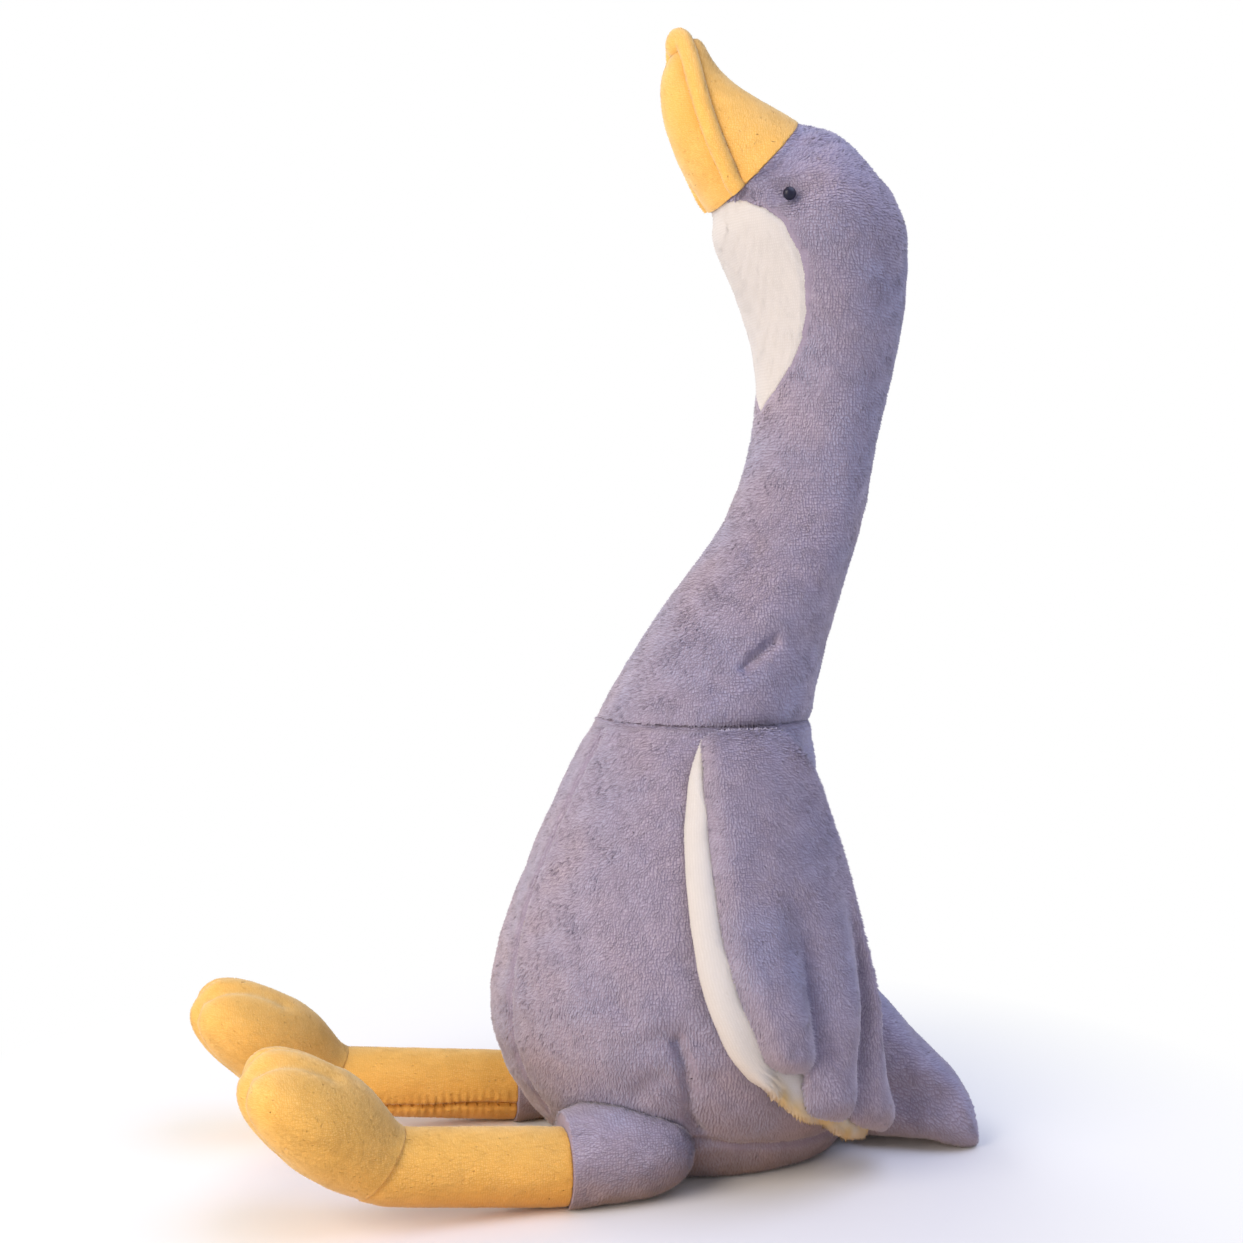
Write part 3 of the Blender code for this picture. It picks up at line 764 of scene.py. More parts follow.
BEAD, shader = new_material("black_acrylic_bead")
shader.inputs["Base Color"].default_value = linear("#0f0e2a")
shader.inputs["Roughness"].default_value = 0.30
shader.inputs["Specular IOR Level"].default_value = 0.30
for side, (bead, centre, radius) in beads.items():
    dress(bead, BEAD, [f"eye_{side}"])

# %% Grow the pile of the neck and head


def neck_nap(where):
    """Down the neck, and back from the bill over the head."""
    over = smoothstep(0.385, 0.415, where[:, 2])[:, None]
    return np.array([0, 0.05, -1.0]) * (1 - over) + np.array([0, 1.0, -0.35]) * over


def neck_trim(where):
    """Shorter pile in the crease, round the eyes and along the throat patch."""
    share = 1 - 0.5 * np.exp(-(near_path(where, neck_crease) / 0.0016) ** 2)
    for _, centre, radius in beads.values():
        away = np.linalg.norm(where - centre, axis=1)
        share *= 0.15 + 0.85 * smoothstep(radius * 0.85, radius * 1.7, away)
    return share * (0.20 + 0.80 * smoothstep(-0.0002, -0.0022, inside_throat(where)))


def neck_painted_shade(where):
    """Painted shade: darker in the fold at the neck's foot, and between the bill and the eye."""
    fold = np.exp(-(near_path(where, neck_crease) / 0.0019) ** 2) * (0.34 + 0.45 * waves(where, 0.0025, 6))
    front = np.exp(-(near_path(where, laid_on(neck, [CHEEK])[0]) / 0.0075) ** 2)
    return np.maximum(fold, front * (0.28 + 0.25 * waves(where, 0.004, 9)))


def hidden_in_neck(where, facing):
    """The cuts at both ends, and the seat of the throat patch."""
    base = (where[:, 2] < COLLAR + 0.001) & (facing[:, 2] < -0.9)
    end = (beyond(where, BILL_WAY, BILL_SEAM) > -0.001) & (facing @ np.array(BILL_WAY) > 0.9)
    return base | end | (inside_throat(where) > 0.0018)


cut_end(neck, -UP, -COLLAR - SEAM_GAP)
cut_end(neck, BILL_WAY, BILL_SEAM)
grow_pile(neck, **LILAC_COAT, nap=neck_nap, seed=23, trim=neck_trim, bare=hidden_in_neck, shade_and_tint_share=neck_painted_shade)
dress(neck, LILAC, ["neck_and_head"])

# %% [markdown]
# ## The throat patch
# The patch is cut out of a copy of the neck's own surface along its leaf outline, so it continues the neck's curve,
# and it gets a thickness of its own.

# %% Make the throat patch
PATCH_THICKNESS = 0.0024
RIM_REACH = 0.0015
EDGE_DROP = 0.0007
EDGE_WIDTH = 0.0020

shell = bmesh.new()
shell.from_mesh(throat.data)
shell.faces.ensure_lookup_table()
centres = np.array([face.calc_center_median() for face in shell.faces])
outside = inside_throat(centres) < 0
bmesh.ops.delete(shell, geom=[shell.faces[i] for i in np.flatnonzero(outside)], context="FACES")
shell.to_mesh(throat.data)
shell.free()
keep_largest(throat)
shell = bmesh.new()
shell.from_mesh(throat.data)
rim = np.array([vert.index for vert in shell.verts if vert.is_boundary])
shell.free()
near = np.abs(inside_throat(points(throat))[rim]) < RIM_REACH
onto_leaf(throat, rim[near])
depth = inside_throat(points(throat))
drop = EDGE_DROP * (1 - smoothstep(0, EDGE_WIDTH, depth))
put(throat, points(throat) - outward(throat) * drop[:, None])
solid = throat.modifiers.new("Thickness", "SOLIDIFY")
solid.thickness = PATCH_THICKNESS
solid.offset = -1.0
only(throat)
bpy.ops.object.modifier_apply(modifier=solid.name)
cut_end(throat, BILL_WAY, BILL_SEAM)


def hidden_in_throat(where, facing):
    """The patch faces forward, and its hidden side faces the neck."""
    return facing[:, 1] > 0.3


grow_pile(
    throat, WHITE_PILE, lean=35, nap=falling, seed=31, bare=hidden_in_throat, soft=0.9, scatter=LINING_SCATTER,
)
dress(throat, WHITE, ["throat_patch"])

# %% [markdown]
# ## The bill
# Two stuffed halves meet along the mouth, and a soft roll of the same plush fills the furrow between them. It runs
# from one corner of the mouth over the tip to the other. The roll's path is found by rays in the plane of the mouth,
# fanned out from its middle.

# %% Find the path of the mouth
MOUTH_CORNER = Vector((0, 0.0103, 0.4124))
MOUTH_WAY = Vector((0, -0.358, 0.934))
MOUTH_SIDE = np.array([0, 0.934, 0.358])
MOUTH_BOW = [(0, -0.0016), (0.015, -0.0032), (0.030, -0.0026), (0.045, 0.0004), (0.058, 0.0034), (0.070, 0.0042)]
ROLL_RADIUS = 0.0036
ROLL_DEPTH = 0.0017
NUB_RADIUS = 0.0056
NUB_DEPTH = 0.0030
NUB_STRETCH = (1.25, 1.0, 1.05)
RAY_START = 0.08
bill_trees = [tree_of(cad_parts[f"{half}_bill"]) for half in ("upper", "lower")]


def mouth_reach(turn):
    """The bill's outline in the plane of the mouth, in this direction from the middle of the mouth's corner."""
    start = MOUTH_CORNER + MOUTH_WAY * 0.004
    way = MOUTH_WAY * math.cos(turn) + Vector((1, 0, 0)) * math.sin(turn)
    side = MOUTH_WAY.cross(Vector((1, 0, 0))) * 0.0006
    found = []
    for tree in bill_trees:
        for shift in (side, -side):
            hit, _, _, gap = tree.ray_cast(start + shift + way * RAY_START, -way, RAY_START)
            if hit is not None:
                found.append((RAY_START - gap, hit - shift))
    return max(found)[1] - way * ROLL_DEPTH


def bowed(where):
    """Bends the mouth: seen from the side it bows down towards the throat, and its tip turns up to the culmen."""
    away = np.atleast_2d(where) - np.array(MOUTH_CORNER)
    along, off = away @ np.array(MOUTH_WAY), away @ MOUTH_SIDE
    shift = np.interp(along, *zip(*MOUTH_BOW)) * np.exp(-(off / 0.011) ** 2)
    return np.atleast_2d(where) + np.outer(shift, MOUTH_SIDE)


turns = [math.radians(a) for a in (-112, -100, -88, -74, -58, -42, -30, -21, -14, -8, -3)]
roll_path = [mouth_reach(turn) for turn in turns + [-t for t in reversed(turns)]]
roll_path = [roll_path[0] - BILL_WAY * 0.008] + roll_path + [roll_path[-1] - BILL_WAY * 0.008]
roll_path = [Vector(p) for p in bowed(np.array(roll_path))]
print("mouth roll in mm:", [[round(1000 * c) for c in p] for p in roll_path[:len(turns)]])

# %% Make the halves of the bill
BILL_AXIS = np.array([0, -0.56, 0.83])
TIP_REACH = 0.012
TIP_DRAWN_IN = {"upper": 0.40, "lower": 0.20}
SMALL_SQUARE = 0.0018
toward_tip = brushed(*BILL_AXIS)


def at_bill_seam(where, facing):
    """The cut where the bill meets the head."""
    return (beyond(where, BILL_WAY, BILL_SEAM) < 0.001) & (facing @ np.array(BILL_WAY) < -0.9)


for number, half in enumerate(("upper", "lower")):
    form = form_of(f"{half}_bill_plush", [f"{half}_bill"], SMALL_SQUARE, YELLOW_ROOM, [-BILL_WAY], smooth=6)
    swell(form, cap=0.0010, held=beyond(points(form), BILL_WAY, BILL_SEAM) < 0.003, slack=0.0)
    where = bowed(points(form))
    along = where @ BILL_AXIS
    past = np.maximum(along - along.max() + TIP_REACH, 0)
    put(form, where - np.outer(past ** 2 / TIP_REACH * TIP_DRAWN_IN[half], BILL_AXIS))
    finer(form)
    cut_end(form, -BILL_WAY, -BILL_SEAM - SEAM_GAP)
    # Painted shade: the yellow darkens near the mouth roll, in the furrows on both sides of it.
    grow_pile(
        form, **YELLOW_COAT, nap=toward_tip, seed=41 + number, bare=at_bill_seam,
        shade_and_tint_share=lambda w: 0.30 * np.exp(-(near_path(w, roll_path) / 0.0055) ** 2),
    )
    dress(form, YELLOW, [f"{half}_bill"])

# %% Make the roll along the mouth
ROLL_SQUARE = 0.0009


def join(pieces):
    """Makes the pieces one object, with its place in its mesh."""
    bpy.ops.object.select_all(action="DESELECT")
    for piece in pieces:
        piece.select_set(True)
    bpy.context.view_layer.objects.active = pieces[0]
    bpy.ops.object.join()
    bpy.ops.object.transform_apply(location=True, rotation=True, scale=True)
    return bpy.context.object


bpy.ops.object.select_all(action="DESELECT")
bpy.ops.curve.primitive_bezier_curve_add()
roll = bpy.context.object
roll.name = "mouth_roll_plush"
roll.matrix_world.identity()
roll.data.splines.clear()
line = roll.data.splines.new("NURBS")
line.points.add(len(roll_path) - 1)
for point, at in zip(line.points, roll_path):
    point.co = (*at, 1.0)
line.use_endpoint_u = True
line.order_u = 4
line.resolution_u = 10
roll.data.dimensions = "3D"
roll.data.bevel_depth = ROLL_RADIUS
roll.data.bevel_resolution = 6
roll.data.use_fill_caps = True
bpy.ops.object.convert(target="MESH")
tip = max(roll_path, key=lambda p: p @ MOUTH_WAY)
bpy.ops.mesh.primitive_uv_sphere_add(segments=24, ring_count=16, radius=NUB_RADIUS)
nub = bpy.context.object
nub.location = (0, *(tip - MOUTH_WAY * NUB_DEPTH)[1:])
nub.scale = NUB_STRETCH
roll = join([roll, nub])
even_squares(roll, ROLL_SQUARE)
soften(roll, 4)
cut_end(roll, -BILL_WAY, -BILL_SEAM - SEAM_GAP)
grow_pile(roll, **YELLOW_COAT, nap=toward_tip, seed=45, bare=at_bill_seam)
dress(roll, YELLOW, [])

# %% [markdown]
# ## The tail
# The tail is a wedge that leans against the body's back and ends blunt, like a small cushion lying on the floor.

# %% Make the tail
TAIL_BLUNT_START = 0.088
TAIL_BLUNT_END = 0.116
TAIL_MIDDLE = [(0.05, 0.030), (0.09, 0.016), (0.12, 0.007)]
TAIL_FULLNESS = 0.0065
TAIL_RAISE = [(0.040, 1.0), (0.055, 1.25), (0.070, 1.36), (0.085, 1.35), (0.100, 1.26), (0.120, 1.12)]
TAIL_SPREAD = 0.17
TAIL_BELLY = 0.030
backward = brushed(0.0, 1.0, -0.6)

tail = form_of("tail_plush", ["tail"], BODY_SQUARE, PILE_ROOM + 0.0008)
lean_on(tail, body_tree)
swell(tail, cap=0.0020, held=points(tail)[:, 2] < 0.003)
where = points(tail)
blunt = smoothstep(TAIL_BLUNT_START, TAIL_BLUNT_END, where[:, 1])
middle_height = np.interp(where[:, 1], *zip(*TAIL_MIDDLE))
where[:, 2] += TAIL_FULLNESS * blunt * np.clip((where[:, 2] - middle_height) / 0.005, -1, 1)
where[:, 2] *= np.interp(where[:, 1], *zip(*TAIL_RAISE))
under = np.clip(where[:, 2] / TAIL_BELLY, 0, 1)
where[:, 2] = np.where(under < 1, TAIL_BELLY * under ** 1.4, where[:, 2])
where[:, 1] -= 0.0008 * blunt
near_body = 0.12 * smoothstep(0.120, 0.088, where[:, 1])
lengths = np.arange(0.070, 0.113, 0.005)
lowest = [where[np.abs(where[:, 1] - length) < 0.004, 2].min() for length in lengths]
raised = np.interp(where[:, 1], lengths, lowest)
print("tail's underside before it is laid down:", [round(float(z) * 1000, 1) for z in lowest])
where[:, 2] -= raised * smoothstep(0.034, 0.008, where[:, 2] - raised)
where[:, 0] *= 1 + (TAIL_SPREAD + near_body) * smoothstep(0.026, 0.004, where[:, 2]) * (1 - 0.7 * blunt)
put(tail, where)
rest_on_floor(tail)
finer(tail)
grow_pile(tail, **LILAC_COAT, nap=backward, seed=51, bare=lambda w, f: (w[:, 2] < 0.004) & (f[:, 2] < -0.9))
dress(tail, LILAC, ["tail"])

# %% [markdown]
# ## Thighs, legs and feet
# Each leg is a tube of the yellow pile between a lilac stump, which is sewn against the body, and a foot with its
# toes up. Two creases part the three toes. On its inner side each leg is closed by hand with a ladder stitch, which
# gathers the cloth a little.

# %% Make the thighs, legs and feet
SIDES = (("left", 1), ("right", -1))
THIGH_SQUARE = 0.0024
TOE_CREASE_DEPTH = 0.0016
TOE_CREASE_WIDTH = 0.0045
TOE_CREASE_SHARES = (0.36, 0.66)
GATHER_SPACING = 0.0036
GATHER_LIFT = 0.00034
GATHER_REACH = 0.0065
LEG_SEAM_DEPTH = 0.0019
LEG_SEAM_WIDTH = 0.0015
STITCHES = 17
STITCH_RADIUS = 0.00045
STITCH_STRETCH = 3.4
ANKLE_CUT_TILT = math.radians(54.0)
ANKLE_CUT_WAY = Vector((0, -math.sin(ANKLE_CUT_TILT), math.cos(ANKLE_CUT_TILT)))
FAR_FOOT_STRETCH = 1.08
ALONG_FOOT = Vector((0, -0.79, 0.61))
THROUGH_FOOT = Vector((0, -0.61, -0.79))
along_foot = brushed(0, -0.79, 0.61)
THREAD, shader = new_material("ochre_sewing_thread")
shader.inputs["Base Color"].default_value = linear("#b98235")
shader.inputs["Roughness"].default_value = 0.7


def on_surface(tree, start, way):
    """Where a ray from start meets the surface."""
    return np.array(tree.ray_cast(Vector(start), Vector(way).normalized())[0])


def ankle_cut(side):
    """The offset of the seam that slants forwards from the top of the solids' ankle seam."""
    offset = seam_offset(f"leg_{side}", ANKLE_WAY)
    end = [v.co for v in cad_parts[f"leg_{side}"].data.vertices if v.co @ ANKLE_WAY > offset - 0.0003]
    top = max(end, key=lambda co: co.z)
    print(side, "ankle seam's top in mm:", [round(1000 * c) for c in top])
    return top @ ANKLE_CUT_WAY - 0.0015


def sew_stitches(side, sign, path):
    """Small stitches of thread across the seam, each a thin capsule of few faces."""
    stitches = []
    dice = np.random.default_rng(77)
    for share in (np.arange(STITCHES) + 0.5) / STITCHES:
        spot = share * (len(path) - 1)
        k = min(int(spot), len(path) - 2)
        at = np.array(path[k]) + (np.array(path[k + 1]) - np.array(path[k])) * (spot - k)
        bpy.ops.mesh.primitive_uv_sphere_add(segments=6, ring_count=6, radius=STITCH_RADIUS, location=at)
        stitch = bpy.context.object
        stitch.scale = (1.0, 1.0, STITCH_STRETCH)
        stitch.rotation_euler = (dice.normal() * 0.2 + 0.3, -sign * 0.45, 0)
        stitches.append(stitch)
    thread = join(stitches)
    thread.name = f"leg_{side}_stitches"
    bpy.ops.object.shade_smooth()
    dress(thread, THREAD, [])


for number, (side, sign) in enumerate(SIDES):
    cut = ankle_cut(side)
    thigh = form_of(f"thigh_{side}_plush", [f"thigh_{side}"], THIGH_SQUARE, PILE_ROOM + 0.0008, [HEM_WAY])
    lean_on(thigh, body_tree)
    where = points(thigh)
    swell(thigh, cap=0.0016, held=(where[:, 2] < 0.003) | (where[:, 1] < -HEM + 0.002))
    rest_on_floor(thigh)
    finer(thigh)
    cut_end(thigh, HEM_WAY, HEM)
    grow_pile(
        thigh, **LILAC_COAT, nap=forward, seed=61 + number,
        bare=lambda w, f: (f[:, 1] < -0.9) & (w[:, 1] < -HEM + 0.001),
    )
    dress(thigh, LILAC, [f"thigh_{side}"])

    leg = form_of(
        f"leg_{side}_plush", [f"leg_{side}"], SMALL_SQUARE, YELLOW_ROOM, [-HEM_WAY, ANKLE_WAY], overlong=0.015,
    )
    where = points(leg)
    held = (where[:, 1] > -HEM - 0.003) | (beyond(where, ANKLE_CUT_WAY, cut) > -0.003)
    swell(leg, cap=0.0008, held=held, slack=0.0)
    rest_on_floor(leg)
    finer(leg)
    leg_tree = tree_of(leg)
    low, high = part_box(f"leg_{side}")
    middle = (low[0] + high[0]) / 2
    stitch_line = []
    for share in np.linspace(0, 1, 12):
        y = -HEM + 0.004 + (low[1] + 0.004 + HEM - 0.004) * share
        inward = (-sign, 0, -0.55 + 0.0012 * math.sin(share * 7) * 80)
        stitch_line.append(on_surface(leg_tree, (middle, y, 0.0165 + 0.004 * share), inward))
    where = points(leg)
    away = near_path(where, stitch_line)
    gather = np.sin(where[:, 1] / GATHER_SPACING * 2 * math.pi + 3 * waves(where, 0.02, 5))
    fade = np.exp(-(away / GATHER_REACH) ** 2) * (0.6 + 0.4 * waves(where, 0.012, 8))
    fade *= 0.15 + 0.85 * smoothstep(0.021, 0.017, where[:, 2])
    lift = GATHER_LIFT * gather * fade - LEG_SEAM_DEPTH * np.exp(-(away / LEG_SEAM_WIDTH) ** 2)
    put(leg, where + outward(leg) * lift[:, None])
    seam = laid_on(leg, [stitch_line], 0.006)[0]
    cut_end(leg, -HEM_WAY, -HEM - SEAM_GAP)
    cut_end(leg, ANKLE_CUT_WAY, cut)
    grow_pile(
        leg, **YELLOW_COAT, nap=forward, seed=71 + number,
        bare=lambda w, f: ((f[:, 1] > 0.9) & (w[:, 1] > -HEM - 0.001)) | (f @ np.array(ANKLE_CUT_WAY) > 0.98),
        shade_and_tint_share=lambda w: 0.85 * np.exp(-(near_path(w, seam) / 0.0016) ** 2) * (0.75 + 0.5 * waves(w, 0.006, 4)),
    )
    dress(leg, YELLOW, [f"leg_{side}"])
    sew_stitches(side, sign, seam)

    foot = form_of(f"foot_{side}_plush", [f"foot_{side}"], SMALL_SQUARE, YELLOW_ROOM + 0.0004, [-ANKLE_WAY])
    swell(foot, cap=0.0014, held=beyond(points(foot), ANKLE_CUT_WAY, cut) < 0.003, slack=0.0)
    if side == "right":
        where = points(foot)
        heel = where[:, 1].max()
        where[:, 1] = heel + (where[:, 1] - heel) * FAR_FOOT_STRETCH
        put(foot, where)
    finer(foot)
    foot_tree = tree_of(foot)
    low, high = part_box(f"foot_{side}")
    centre = (low + high) / 2
    creases = []
    for share in TOE_CREASE_SHARES:
        start = Vector((low[0] + (high[0] - low[0]) * share, centre[1], centre[2])) + ALONG_FOOT * 0.006
        turns = [math.radians(a) for a in (-78, -55, -35, -15, 0, 15, 35, 55, 78)]
        ways = [ALONG_FOOT * math.cos(turn) + THROUGH_FOOT * math.sin(turn) for turn in turns]
        creases.append([on_surface(foot_tree, start, way) for way in ways])
    sink(foot, creases, TOE_CREASE_DEPTH, TOE_CREASE_WIDTH)
    cut_end(foot, -ANKLE_CUT_WAY, -cut - SEAM_GAP)
    grow_pile(
        foot, **YELLOW_COAT, nap=along_foot, seed=81 + number,
        bare=lambda w, f: (beyond(w, ANKLE_CUT_WAY, cut) < 0.001) & (f @ np.array(ANKLE_CUT_WAY) < -0.9),
    )
    dress(foot, YELLOW, [f"foot_{side}"])

# %% [markdown]
# ## The wings
# A wing hangs from the collar seam. It has a lilac cover and a white lining that rolls round its front edge. Below,
# the cover ends in three feathers that step down towards the back, and two folds run up from between them. The
# cover is a slab that is laid over the body column by column, and each feather is a long bulge between two folds.

# %% Helpers for the wings
COVER_FRONT = [
    (0.183, 88), (0.163, 87), (0.141, 87), (0.122, 88), (0.104, 89), (0.086, 92), (0.071, 96), (0.055, 100),
    (0.02, 106),
]
LINING_FRONT = [
    (0.187, 93), (0.181, 89.5), (0.176, 86.5), (0.171, 84), (0.166, 82), (0.147, 79), (0.129, 79), (0.111, 80),
    (0.092, 82), (0.078, 85), (0.062, 90), (0.047, 99), (0.02, 108),
]
WING_BACK = [
    (0.183, 128), (0.165, 135), (0.153, 138), (0.132, 141), (0.112, 141), (0.100, 140), (0.088, 139.5), (0.076, 139),
    (0.062, 139.5), (0.042, 144), (0.020, 157),
]
FOLD_A_OVER = [(0.183, 108), (0.150, 110), (0.125, 111.5), (0.101, 112.5), (0.076, 113), (0.055, 114.5), (0.02, 116)]
FOLD_A_UNDER = [(0.183, 110), (0.150, 112), (0.125, 113.5), (0.101, 113.5), (0.076, 112), (0.055, 109), (0.02, 110)]
FOLD_B_OVER = [(0.183, 118), (0.150, 127), (0.125, 134), (0.093, 135), (0.076, 132.5), (0.055, 129), (0.02, 126)]
FOLD_B_UNDER = [(0.183, 120), (0.150, 129), (0.125, 136), (0.093, 136.5), (0.076, 134), (0.055, 130), (0.02, 125)]
FEATHER_FEET = [
    [(0, 0.0605), (0.12, 0.0570), (0.4, 0.0545), (0.8, 0.0535), (0.94, 0.0550), (1, 0.0590)],
    [(0, 0.0420), (0.12, 0.0365), (0.4, 0.0335), (0.8, 0.0300), (0.93, 0.0305), (1, 0.0330)],
    [(0, 0.0310), (0.10, 0.0270), (0.35, 0.0225), (0.65, 0.0160), (0.85, 0.0150), (0.95, 0.0165), (1, 0.0210)],
]
LINING_FOOT = [
    (96, 0.0525), (101, 0.048), (104, 0.0455), (107, 0.0400), (110, 0.0360), (113, 0.0325), (118, 0.0315),
    (123, 0.0275), (128, 0.0215), (133, 0.0195), (140, 0.0170), (150, 0.020), (156, 0.024),
]
FOLD_SHARES = (0.36, 0.39, 0.65, 0.68)
LINING_DROP = 0.0035
LINING_SLOPE = 0.009
SETTLING_ROUNDS = 14
HANG_HEIGHT = 0.070
FLARE = 0.009
WING_CORNER = 0.004
WING_SEWN = 0.020


def from_table(table, at):
    """The value that a table of pairs gives here, with an even slope between its rows."""
    rows = sorted(table)
    return np.interp(at, [r[0] for r in rows], [r[1] for r in rows])


def lining_place(across, down):
    """The angle round the body and the height of a point of the lining, from its shares across and down."""
    top = COLLAR - LINING_DROP - LINING_SLOPE * smoothstep(0.0, 0.15, across)
    low = np.full(len(across), 0.035)
    for _ in range(SETTLING_ROUNDS):
        front = from_table(LINING_FRONT, low)
        angle = front + (from_table(WING_BACK, low) - front) * across
        low = 0.6 * low + 0.4 * from_table(LINING_FOOT, angle)
    height = top - (top - low) * down
    front = from_table(LINING_FRONT, height)
    return front + (from_table(WING_BACK, height) - front) * across, height


def rounded(share):
    """0 below 0, 1 above 1, and the crown of a wave between them."""
    return np.sin(np.clip(share, 0, 1) * math.pi / 2)


def cover_place(across, down):
    """The same for the cover, and how full it is there. Its grid follows the folds: three feathers lie side by side,
    and the edge of each one laps over the edge of the next."""
    top = COLLAR - 0.0005 - WING_CORNER * np.abs(2 * across - 1) ** 8
    a_over, a_under, b_over, b_under = FOLD_SHARES
    knots = [0, a_over, a_under, b_over, b_under, 1]
    within = [
        np.clip(across / a_over, 0, 1),
        np.clip((across - a_under) / (b_over - a_under), 0, 1),
        np.clip((across - b_under) / (1 - b_under), 0, 1),
    ]
    feet = [from_table(FEATHER_FEET[k], within[k]) for k in range(3)]
    zones = [across <= a_over, across < a_under, across <= b_over, across < b_under]
    low = np.select(zones, [feet[0], (feet[0] + feet[1]) / 2, feet[1], (feet[1] + feet[2]) / 2], feet[2])
    height = top - (top - low) * down
    lines = (COVER_FRONT, FOLD_A_OVER, FOLD_A_UNDER, FOLD_B_OVER, FOLD_B_UNDER, WING_BACK)
    marks = [from_table(line, height) for line in lines]
    angle = np.array([np.interp(u, knots, [m[i] for m in marks]) for i, u in enumerate(across)])
    first = rounded((1 - within[0]) / 0.45)
    second = rounded(within[1] / 0.6) * rounded((1 - within[1]) / 0.4)
    third = rounded(within[2] / 0.35) * rounded((1 - within[2]) / 0.6)
    return angle, height, np.select(zones, [first, 0, second, 0], third)


def fullness(heights):
    """How full the wing is at a height: it is sewn almost flat into the collar seam."""
    return 0.30 + 0.70 * rounded((COLLAR - heights) / WING_SEWN)


def wing_surface(side, angles, heights, depths):
    """Points over the body at these angles and heights, this far out. Below the belly the wing hangs free."""
    found = []
    for angle, height, depth in zip(angles, heights, depths):
        way = outwards_at(angle)
        hit = on_body(angle, max(height, HANG_HEIGHT))
        down = (COLLAR - height) / COLLAR
        p = np.array([hit[0], hit[1], height]) + np.array(way) * (depth + FLARE * down * down)
        found.append((side * p[0], p[1], p[2]))
    return np.array(found)


def wing_slab(name, columns, rows):
    """A flat slab, one unit across and down, with an inner side at z = 0 and an outer side at z = 1."""
    bpy.ops.object.select_all(action="DESELECT")
    bpy.ops.mesh.primitive_grid_add(x_subdivisions=columns, y_subdivisions=rows, size=1, location=(0.5, 0.5, 0))
    piece = bpy.context.object
    piece.name = name
    bpy.ops.object.transform_apply(location=True, rotation=True, scale=True)
    edit_whole(piece, bpy.ops.mesh.extrude_region_move, TRANSFORM_OT_translate={"value": (0, 0, 1)})
    return piece


def angle_round(where):
    """Each point's angle round the body's axis, from the front, on either side."""
    return np.degrees(np.arctan2(np.abs(where[:, 0]), -(where[:, 1] - AXIS_Y)))


def lining_trim(where):
    """The pile of the lining is uncut along its lower edge, where it hangs out in ragged wisps."""
    angle = angle_round(where)
    above = where[:, 2] - from_table(LINING_FOOT, angle)
    ragged = 0.75 + 0.5 * waves(where, 0.003, 7)
    return 1 + FRINGE * ragged * (1 - smoothstep(0.001, 0.006, above)) * smoothstep(97, 104, angle)


def lining_tint(where):
    """The wisps are the cream of the uncut pile."""
    angle = angle_round(where)
    above = where[:, 2] - from_table(LINING_FOOT, angle)
    ragged = 0.75 + 0.35 * waves(where, 0.004, 3)
    return (1 - smoothstep(0.002, 0.011, above)) * smoothstep(99, 105, angle) * ragged


def cover_groove_shade(where):
    """Painted shade: darker and bluer in the long groove behind the first feather."""
    groove = np.exp(-((angle_round(where) - from_table(FOLD_A_OVER, where[:, 2]) - 1.0) / 2.8) ** 2)
    return 0.42 * groove * smoothstep(0.130, 0.085, where[:, 2]) * smoothstep(0.050, 0.062, where[:, 2])


# %% Make the wings
FRINGE = 3.2
LINING_LIFT = 0.0004
LINING_ROLL = 0.0066
LINING_THICK = 0.0040
LINING_EDGE = 0.0006
LAP = 1.5
COVER_SQUARE = 0.0011
COVER_LIFT = 0.0050
COVER_THICK = 0.0008
COVER_FULL = 0.0068
FEATHER_RISE = 0.0030

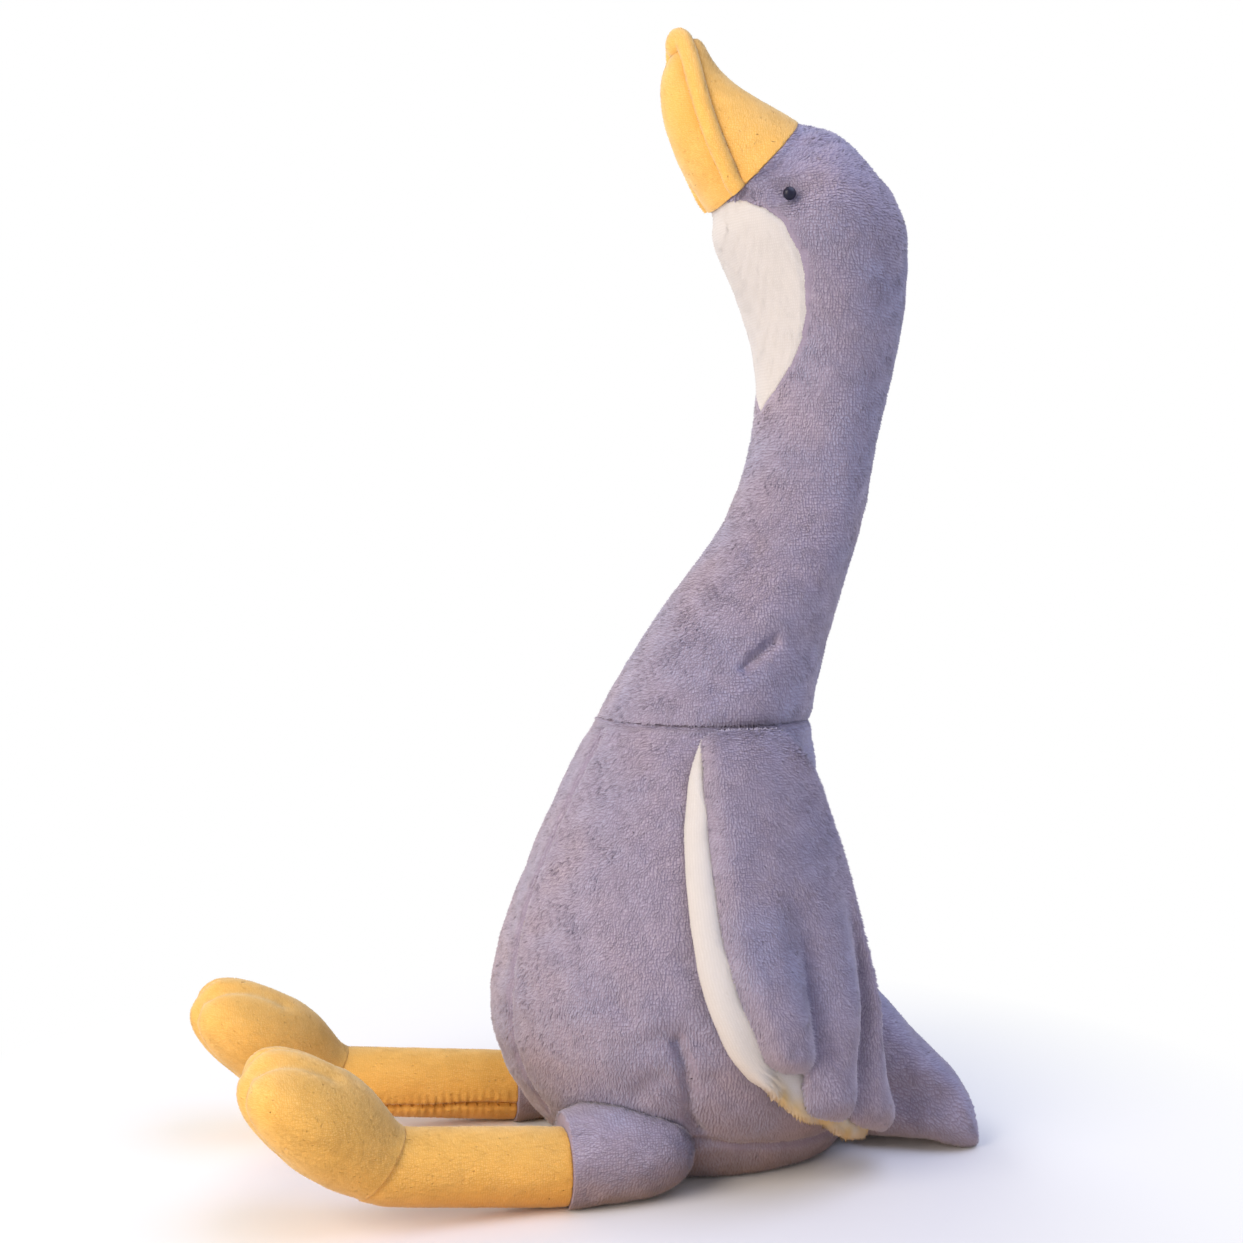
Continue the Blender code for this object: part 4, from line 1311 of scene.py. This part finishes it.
for number, (side, sign) in enumerate(SIDES):
    lining = wing_slab(f"wing_{side}_lining_plush", 36, 62)
    share = points(lining)
    angles, heights = lining_place(share[:, 0], share[:, 1])
    lap, lining_front = from_table(COVER_FRONT, heights) + LAP, from_table(LINING_FRONT, heights)
    roll_share = np.clip((angles - lining_front) / np.maximum(lap - lining_front, 1.0), 0, 1)
    thick = LINING_ROLL * np.sqrt(np.clip(1 - (1 - roll_share) ** 2, 0, 1)) + LINING_EDGE
    thick = np.where(angles > lap, LINING_THICK, thick)
    thick *= np.sqrt(np.clip(0.02 + share[:, 1] / 0.14, 0, 1))
    rim = np.sqrt(np.clip((1 - share[:, 1]) / 0.03, 0, 1)) * np.sqrt(np.clip((1 - share[:, 0]) / 0.06, 0, 1))
    depth = (LINING_LIFT + thick * (0.35 + 0.65 * rim) * share[:, 2]) * fullness(heights)
    put(lining, wing_surface(sign, angles, heights, depth))

    cover = wing_slab(f"wing_{side}_cover_plush", 50, 64)
    share = points(cover)
    angles, heights, bulge = cover_place(share[:, 0], share[:, 1])
    grown = smoothstep(0.135, 0.070, heights)
    edge = np.sqrt(np.clip(share[:, 0] / 0.08, 0, 1) * np.clip((1 - share[:, 0]) / 0.08, 0, 1))
    edge *= np.sqrt(np.clip(0.20 + share[:, 1] / 0.05, 0, 1)) * np.sqrt(np.clip((1 - share[:, 1]) / 0.06, 0, 1))
    full = COVER_FULL * edge * (1 - grown * (1 - bulge) * 0.85) + FEATHER_RISE * grown * edge * bulge
    thick = COVER_THICK + 0.0014 * (1 - fullness(heights)) + full * fullness(heights)
    depth = COVER_LIFT * fullness(heights) + thick * share[:, 2]
    put(cover, wing_surface(sign, angles, heights, depth))
    for piece in (lining, cover):
        edit_whole(piece, bpy.ops.mesh.normals_make_consistent, inside=False)
        soften(piece, 2)
        finer(piece)
    even_squares(cover, COVER_SQUARE)
    soften(cover, 3)
    grow_pile(
        lining, WHITE_PILE, lean=45, nap=falling, seed=91 + number, trim=lining_trim, soft=0.85, shade_and_tint_share=lining_tint,
        scatter=LINING_SCATTER,
    )
    grow_pile(cover, **LILAC_COAT, nap=falling, seed=95 + number, shade_and_tint_share=cover_groove_shade)
    dress(lining, WHITE, [f"wing_{side}_lining"])
    dress(cover, LILAC, [f"wing_{side}_outer"])

# %% [markdown]
# ## Floor and light
# The goose sits on a plain pale floor, which keeps its soft shadow. To the camera the floor is pale, and it turns white
# away from the goose. Only the light that the floor throws back onto the goose from close by is warm, as it was where
# the photograph was taken. Nothing here adds light to the goose but the lamps and the world.

# %% Make the floor, the lamps and the world
bpy.ops.object.select_all(action="DESELECT")
bpy.ops.mesh.primitive_circle_add(vertices=96, radius=3.0, fill_type="NGON", location=(0, 0, 0))
floor = bpy.context.object
floor.name = "floor"


def rays_that_look(tree):
    """1 for the rays that show the background: the camera's own, and those that gloss or glass passes on."""
    rays = add_node(tree, "ShaderNodeLightPath").outputs
    either = {"operation": "MAXIMUM"}
    seen = add_node(tree, "ShaderNodeMath", either, _0=rays["Is Camera Ray"], _1=rays["Is Glossy Ray"])
    return add_node(tree, "ShaderNodeMath", either, _0=seen.outputs[0], _1=rays["Is Transmission Ray"]).outputs[0]


paper, shader = new_material("pale_matt_paper")
tree = paper.node_tree
shader.inputs["Roughness"].default_value = 0.9
seen = rays_that_look(tree)
place = add_node(tree, "ShaderNodeTexCoord").outputs["Object"]
centred = add_node(tree, "ShaderNodeVectorMath", {"operation": "ADD"}, _0=place, _1=(0, 0.04, 0))
away = add_node(tree, "ShaderNodeVectorMath", {"operation": "LENGTH"}, _0=centred.outputs[0])
fade = add_node(tree, "ShaderNodeMapRange", Value=away.outputs["Value"], From_Min=0.15, From_Max=0.34)
white_share = add_node(tree, "ShaderNodeMath", {"operation": "MULTIPLY"}, _0=fade.outputs["Result"], _1=seen)
around = add_node(tree, "ShaderNodeMapRange", Value=away.outputs["Value"], From_Min=0.10, From_Max=0.22)
plain = add_node(tree, "ShaderNodeMath", {"operation": "MAXIMUM"}, _0=seen, _1=around.outputs["Result"])
tone = add_node(
    tree, "ShaderNodeMix", {"data_type": "RGBA"},
    _0=plain.outputs[0], _6=linear("#e0b47c"), _7=linear("#f2f1ee"),
)
tree.links.new(tone.outputs[2], shader.inputs["Base Color"])
glow = add_node(tree, "ShaderNodeEmission", Color=(1, 1, 1, 1), Strength=1.0)
mixed = add_node(tree, "ShaderNodeMixShader", _0=white_share.outputs[0], _1=shader.outputs[0], _2=glow.outputs[0])
tree.links.new(mixed.outputs[0], tree.nodes["Material Output"].inputs["Surface"])
floor.data.materials.append(paper)

LAMPS = [
    ("key", (0.80, -1.25, 0.95), (0, -0.02, 0.22), 1.1, 18, "#fff3e6"),
    ("low key", (0.70, -1.30, 0.20), (0, -0.02, 0.12), 0.8, 5, "#ffe2c0"),
    ("sky", (0.45, 0.55, 1.5), (0, 0, 0.3), 1.4, 13, "#c6d2ff"),
    ("rim", (-1.2, -0.5, 0.9), (0, 0, 0.25), 0.9, 9, "#ffffff"),
]
for name, place, target, size, power, colour in LAMPS:
    bpy.ops.object.light_add(type="AREA", location=place)
    lamp = bpy.context.object
    lamp.name = name
    lamp.rotation_euler = (Vector(target) - Vector(place)).to_track_quat("-Z", "Y").to_euler()
    lamp.data.shape = "DISK"
    lamp.data.size = size
    lamp.data.energy = power
    lamp.data.color = linear(colour)[:3]

world = bpy.data.worlds.new("studio")
bpy.context.scene.world = world
world.use_nodes = True
tree = world.node_tree
seen = rays_that_look(tree)
ambient = add_node(tree, "ShaderNodeBackground", Color=linear("#eef1ff"), Strength=0.45)
white = add_node(tree, "ShaderNodeBackground", Color=(1, 1, 1, 1), Strength=1.0)
mixed = add_node(tree, "ShaderNodeMixShader", _0=seen, _1=ambient.outputs[0], _2=white.outputs[0])
tree.links.new(mixed.outputs[0], tree.nodes["World Output"].inputs["Surface"])
bpy.context.scene.view_settings.view_transform = "Standard"
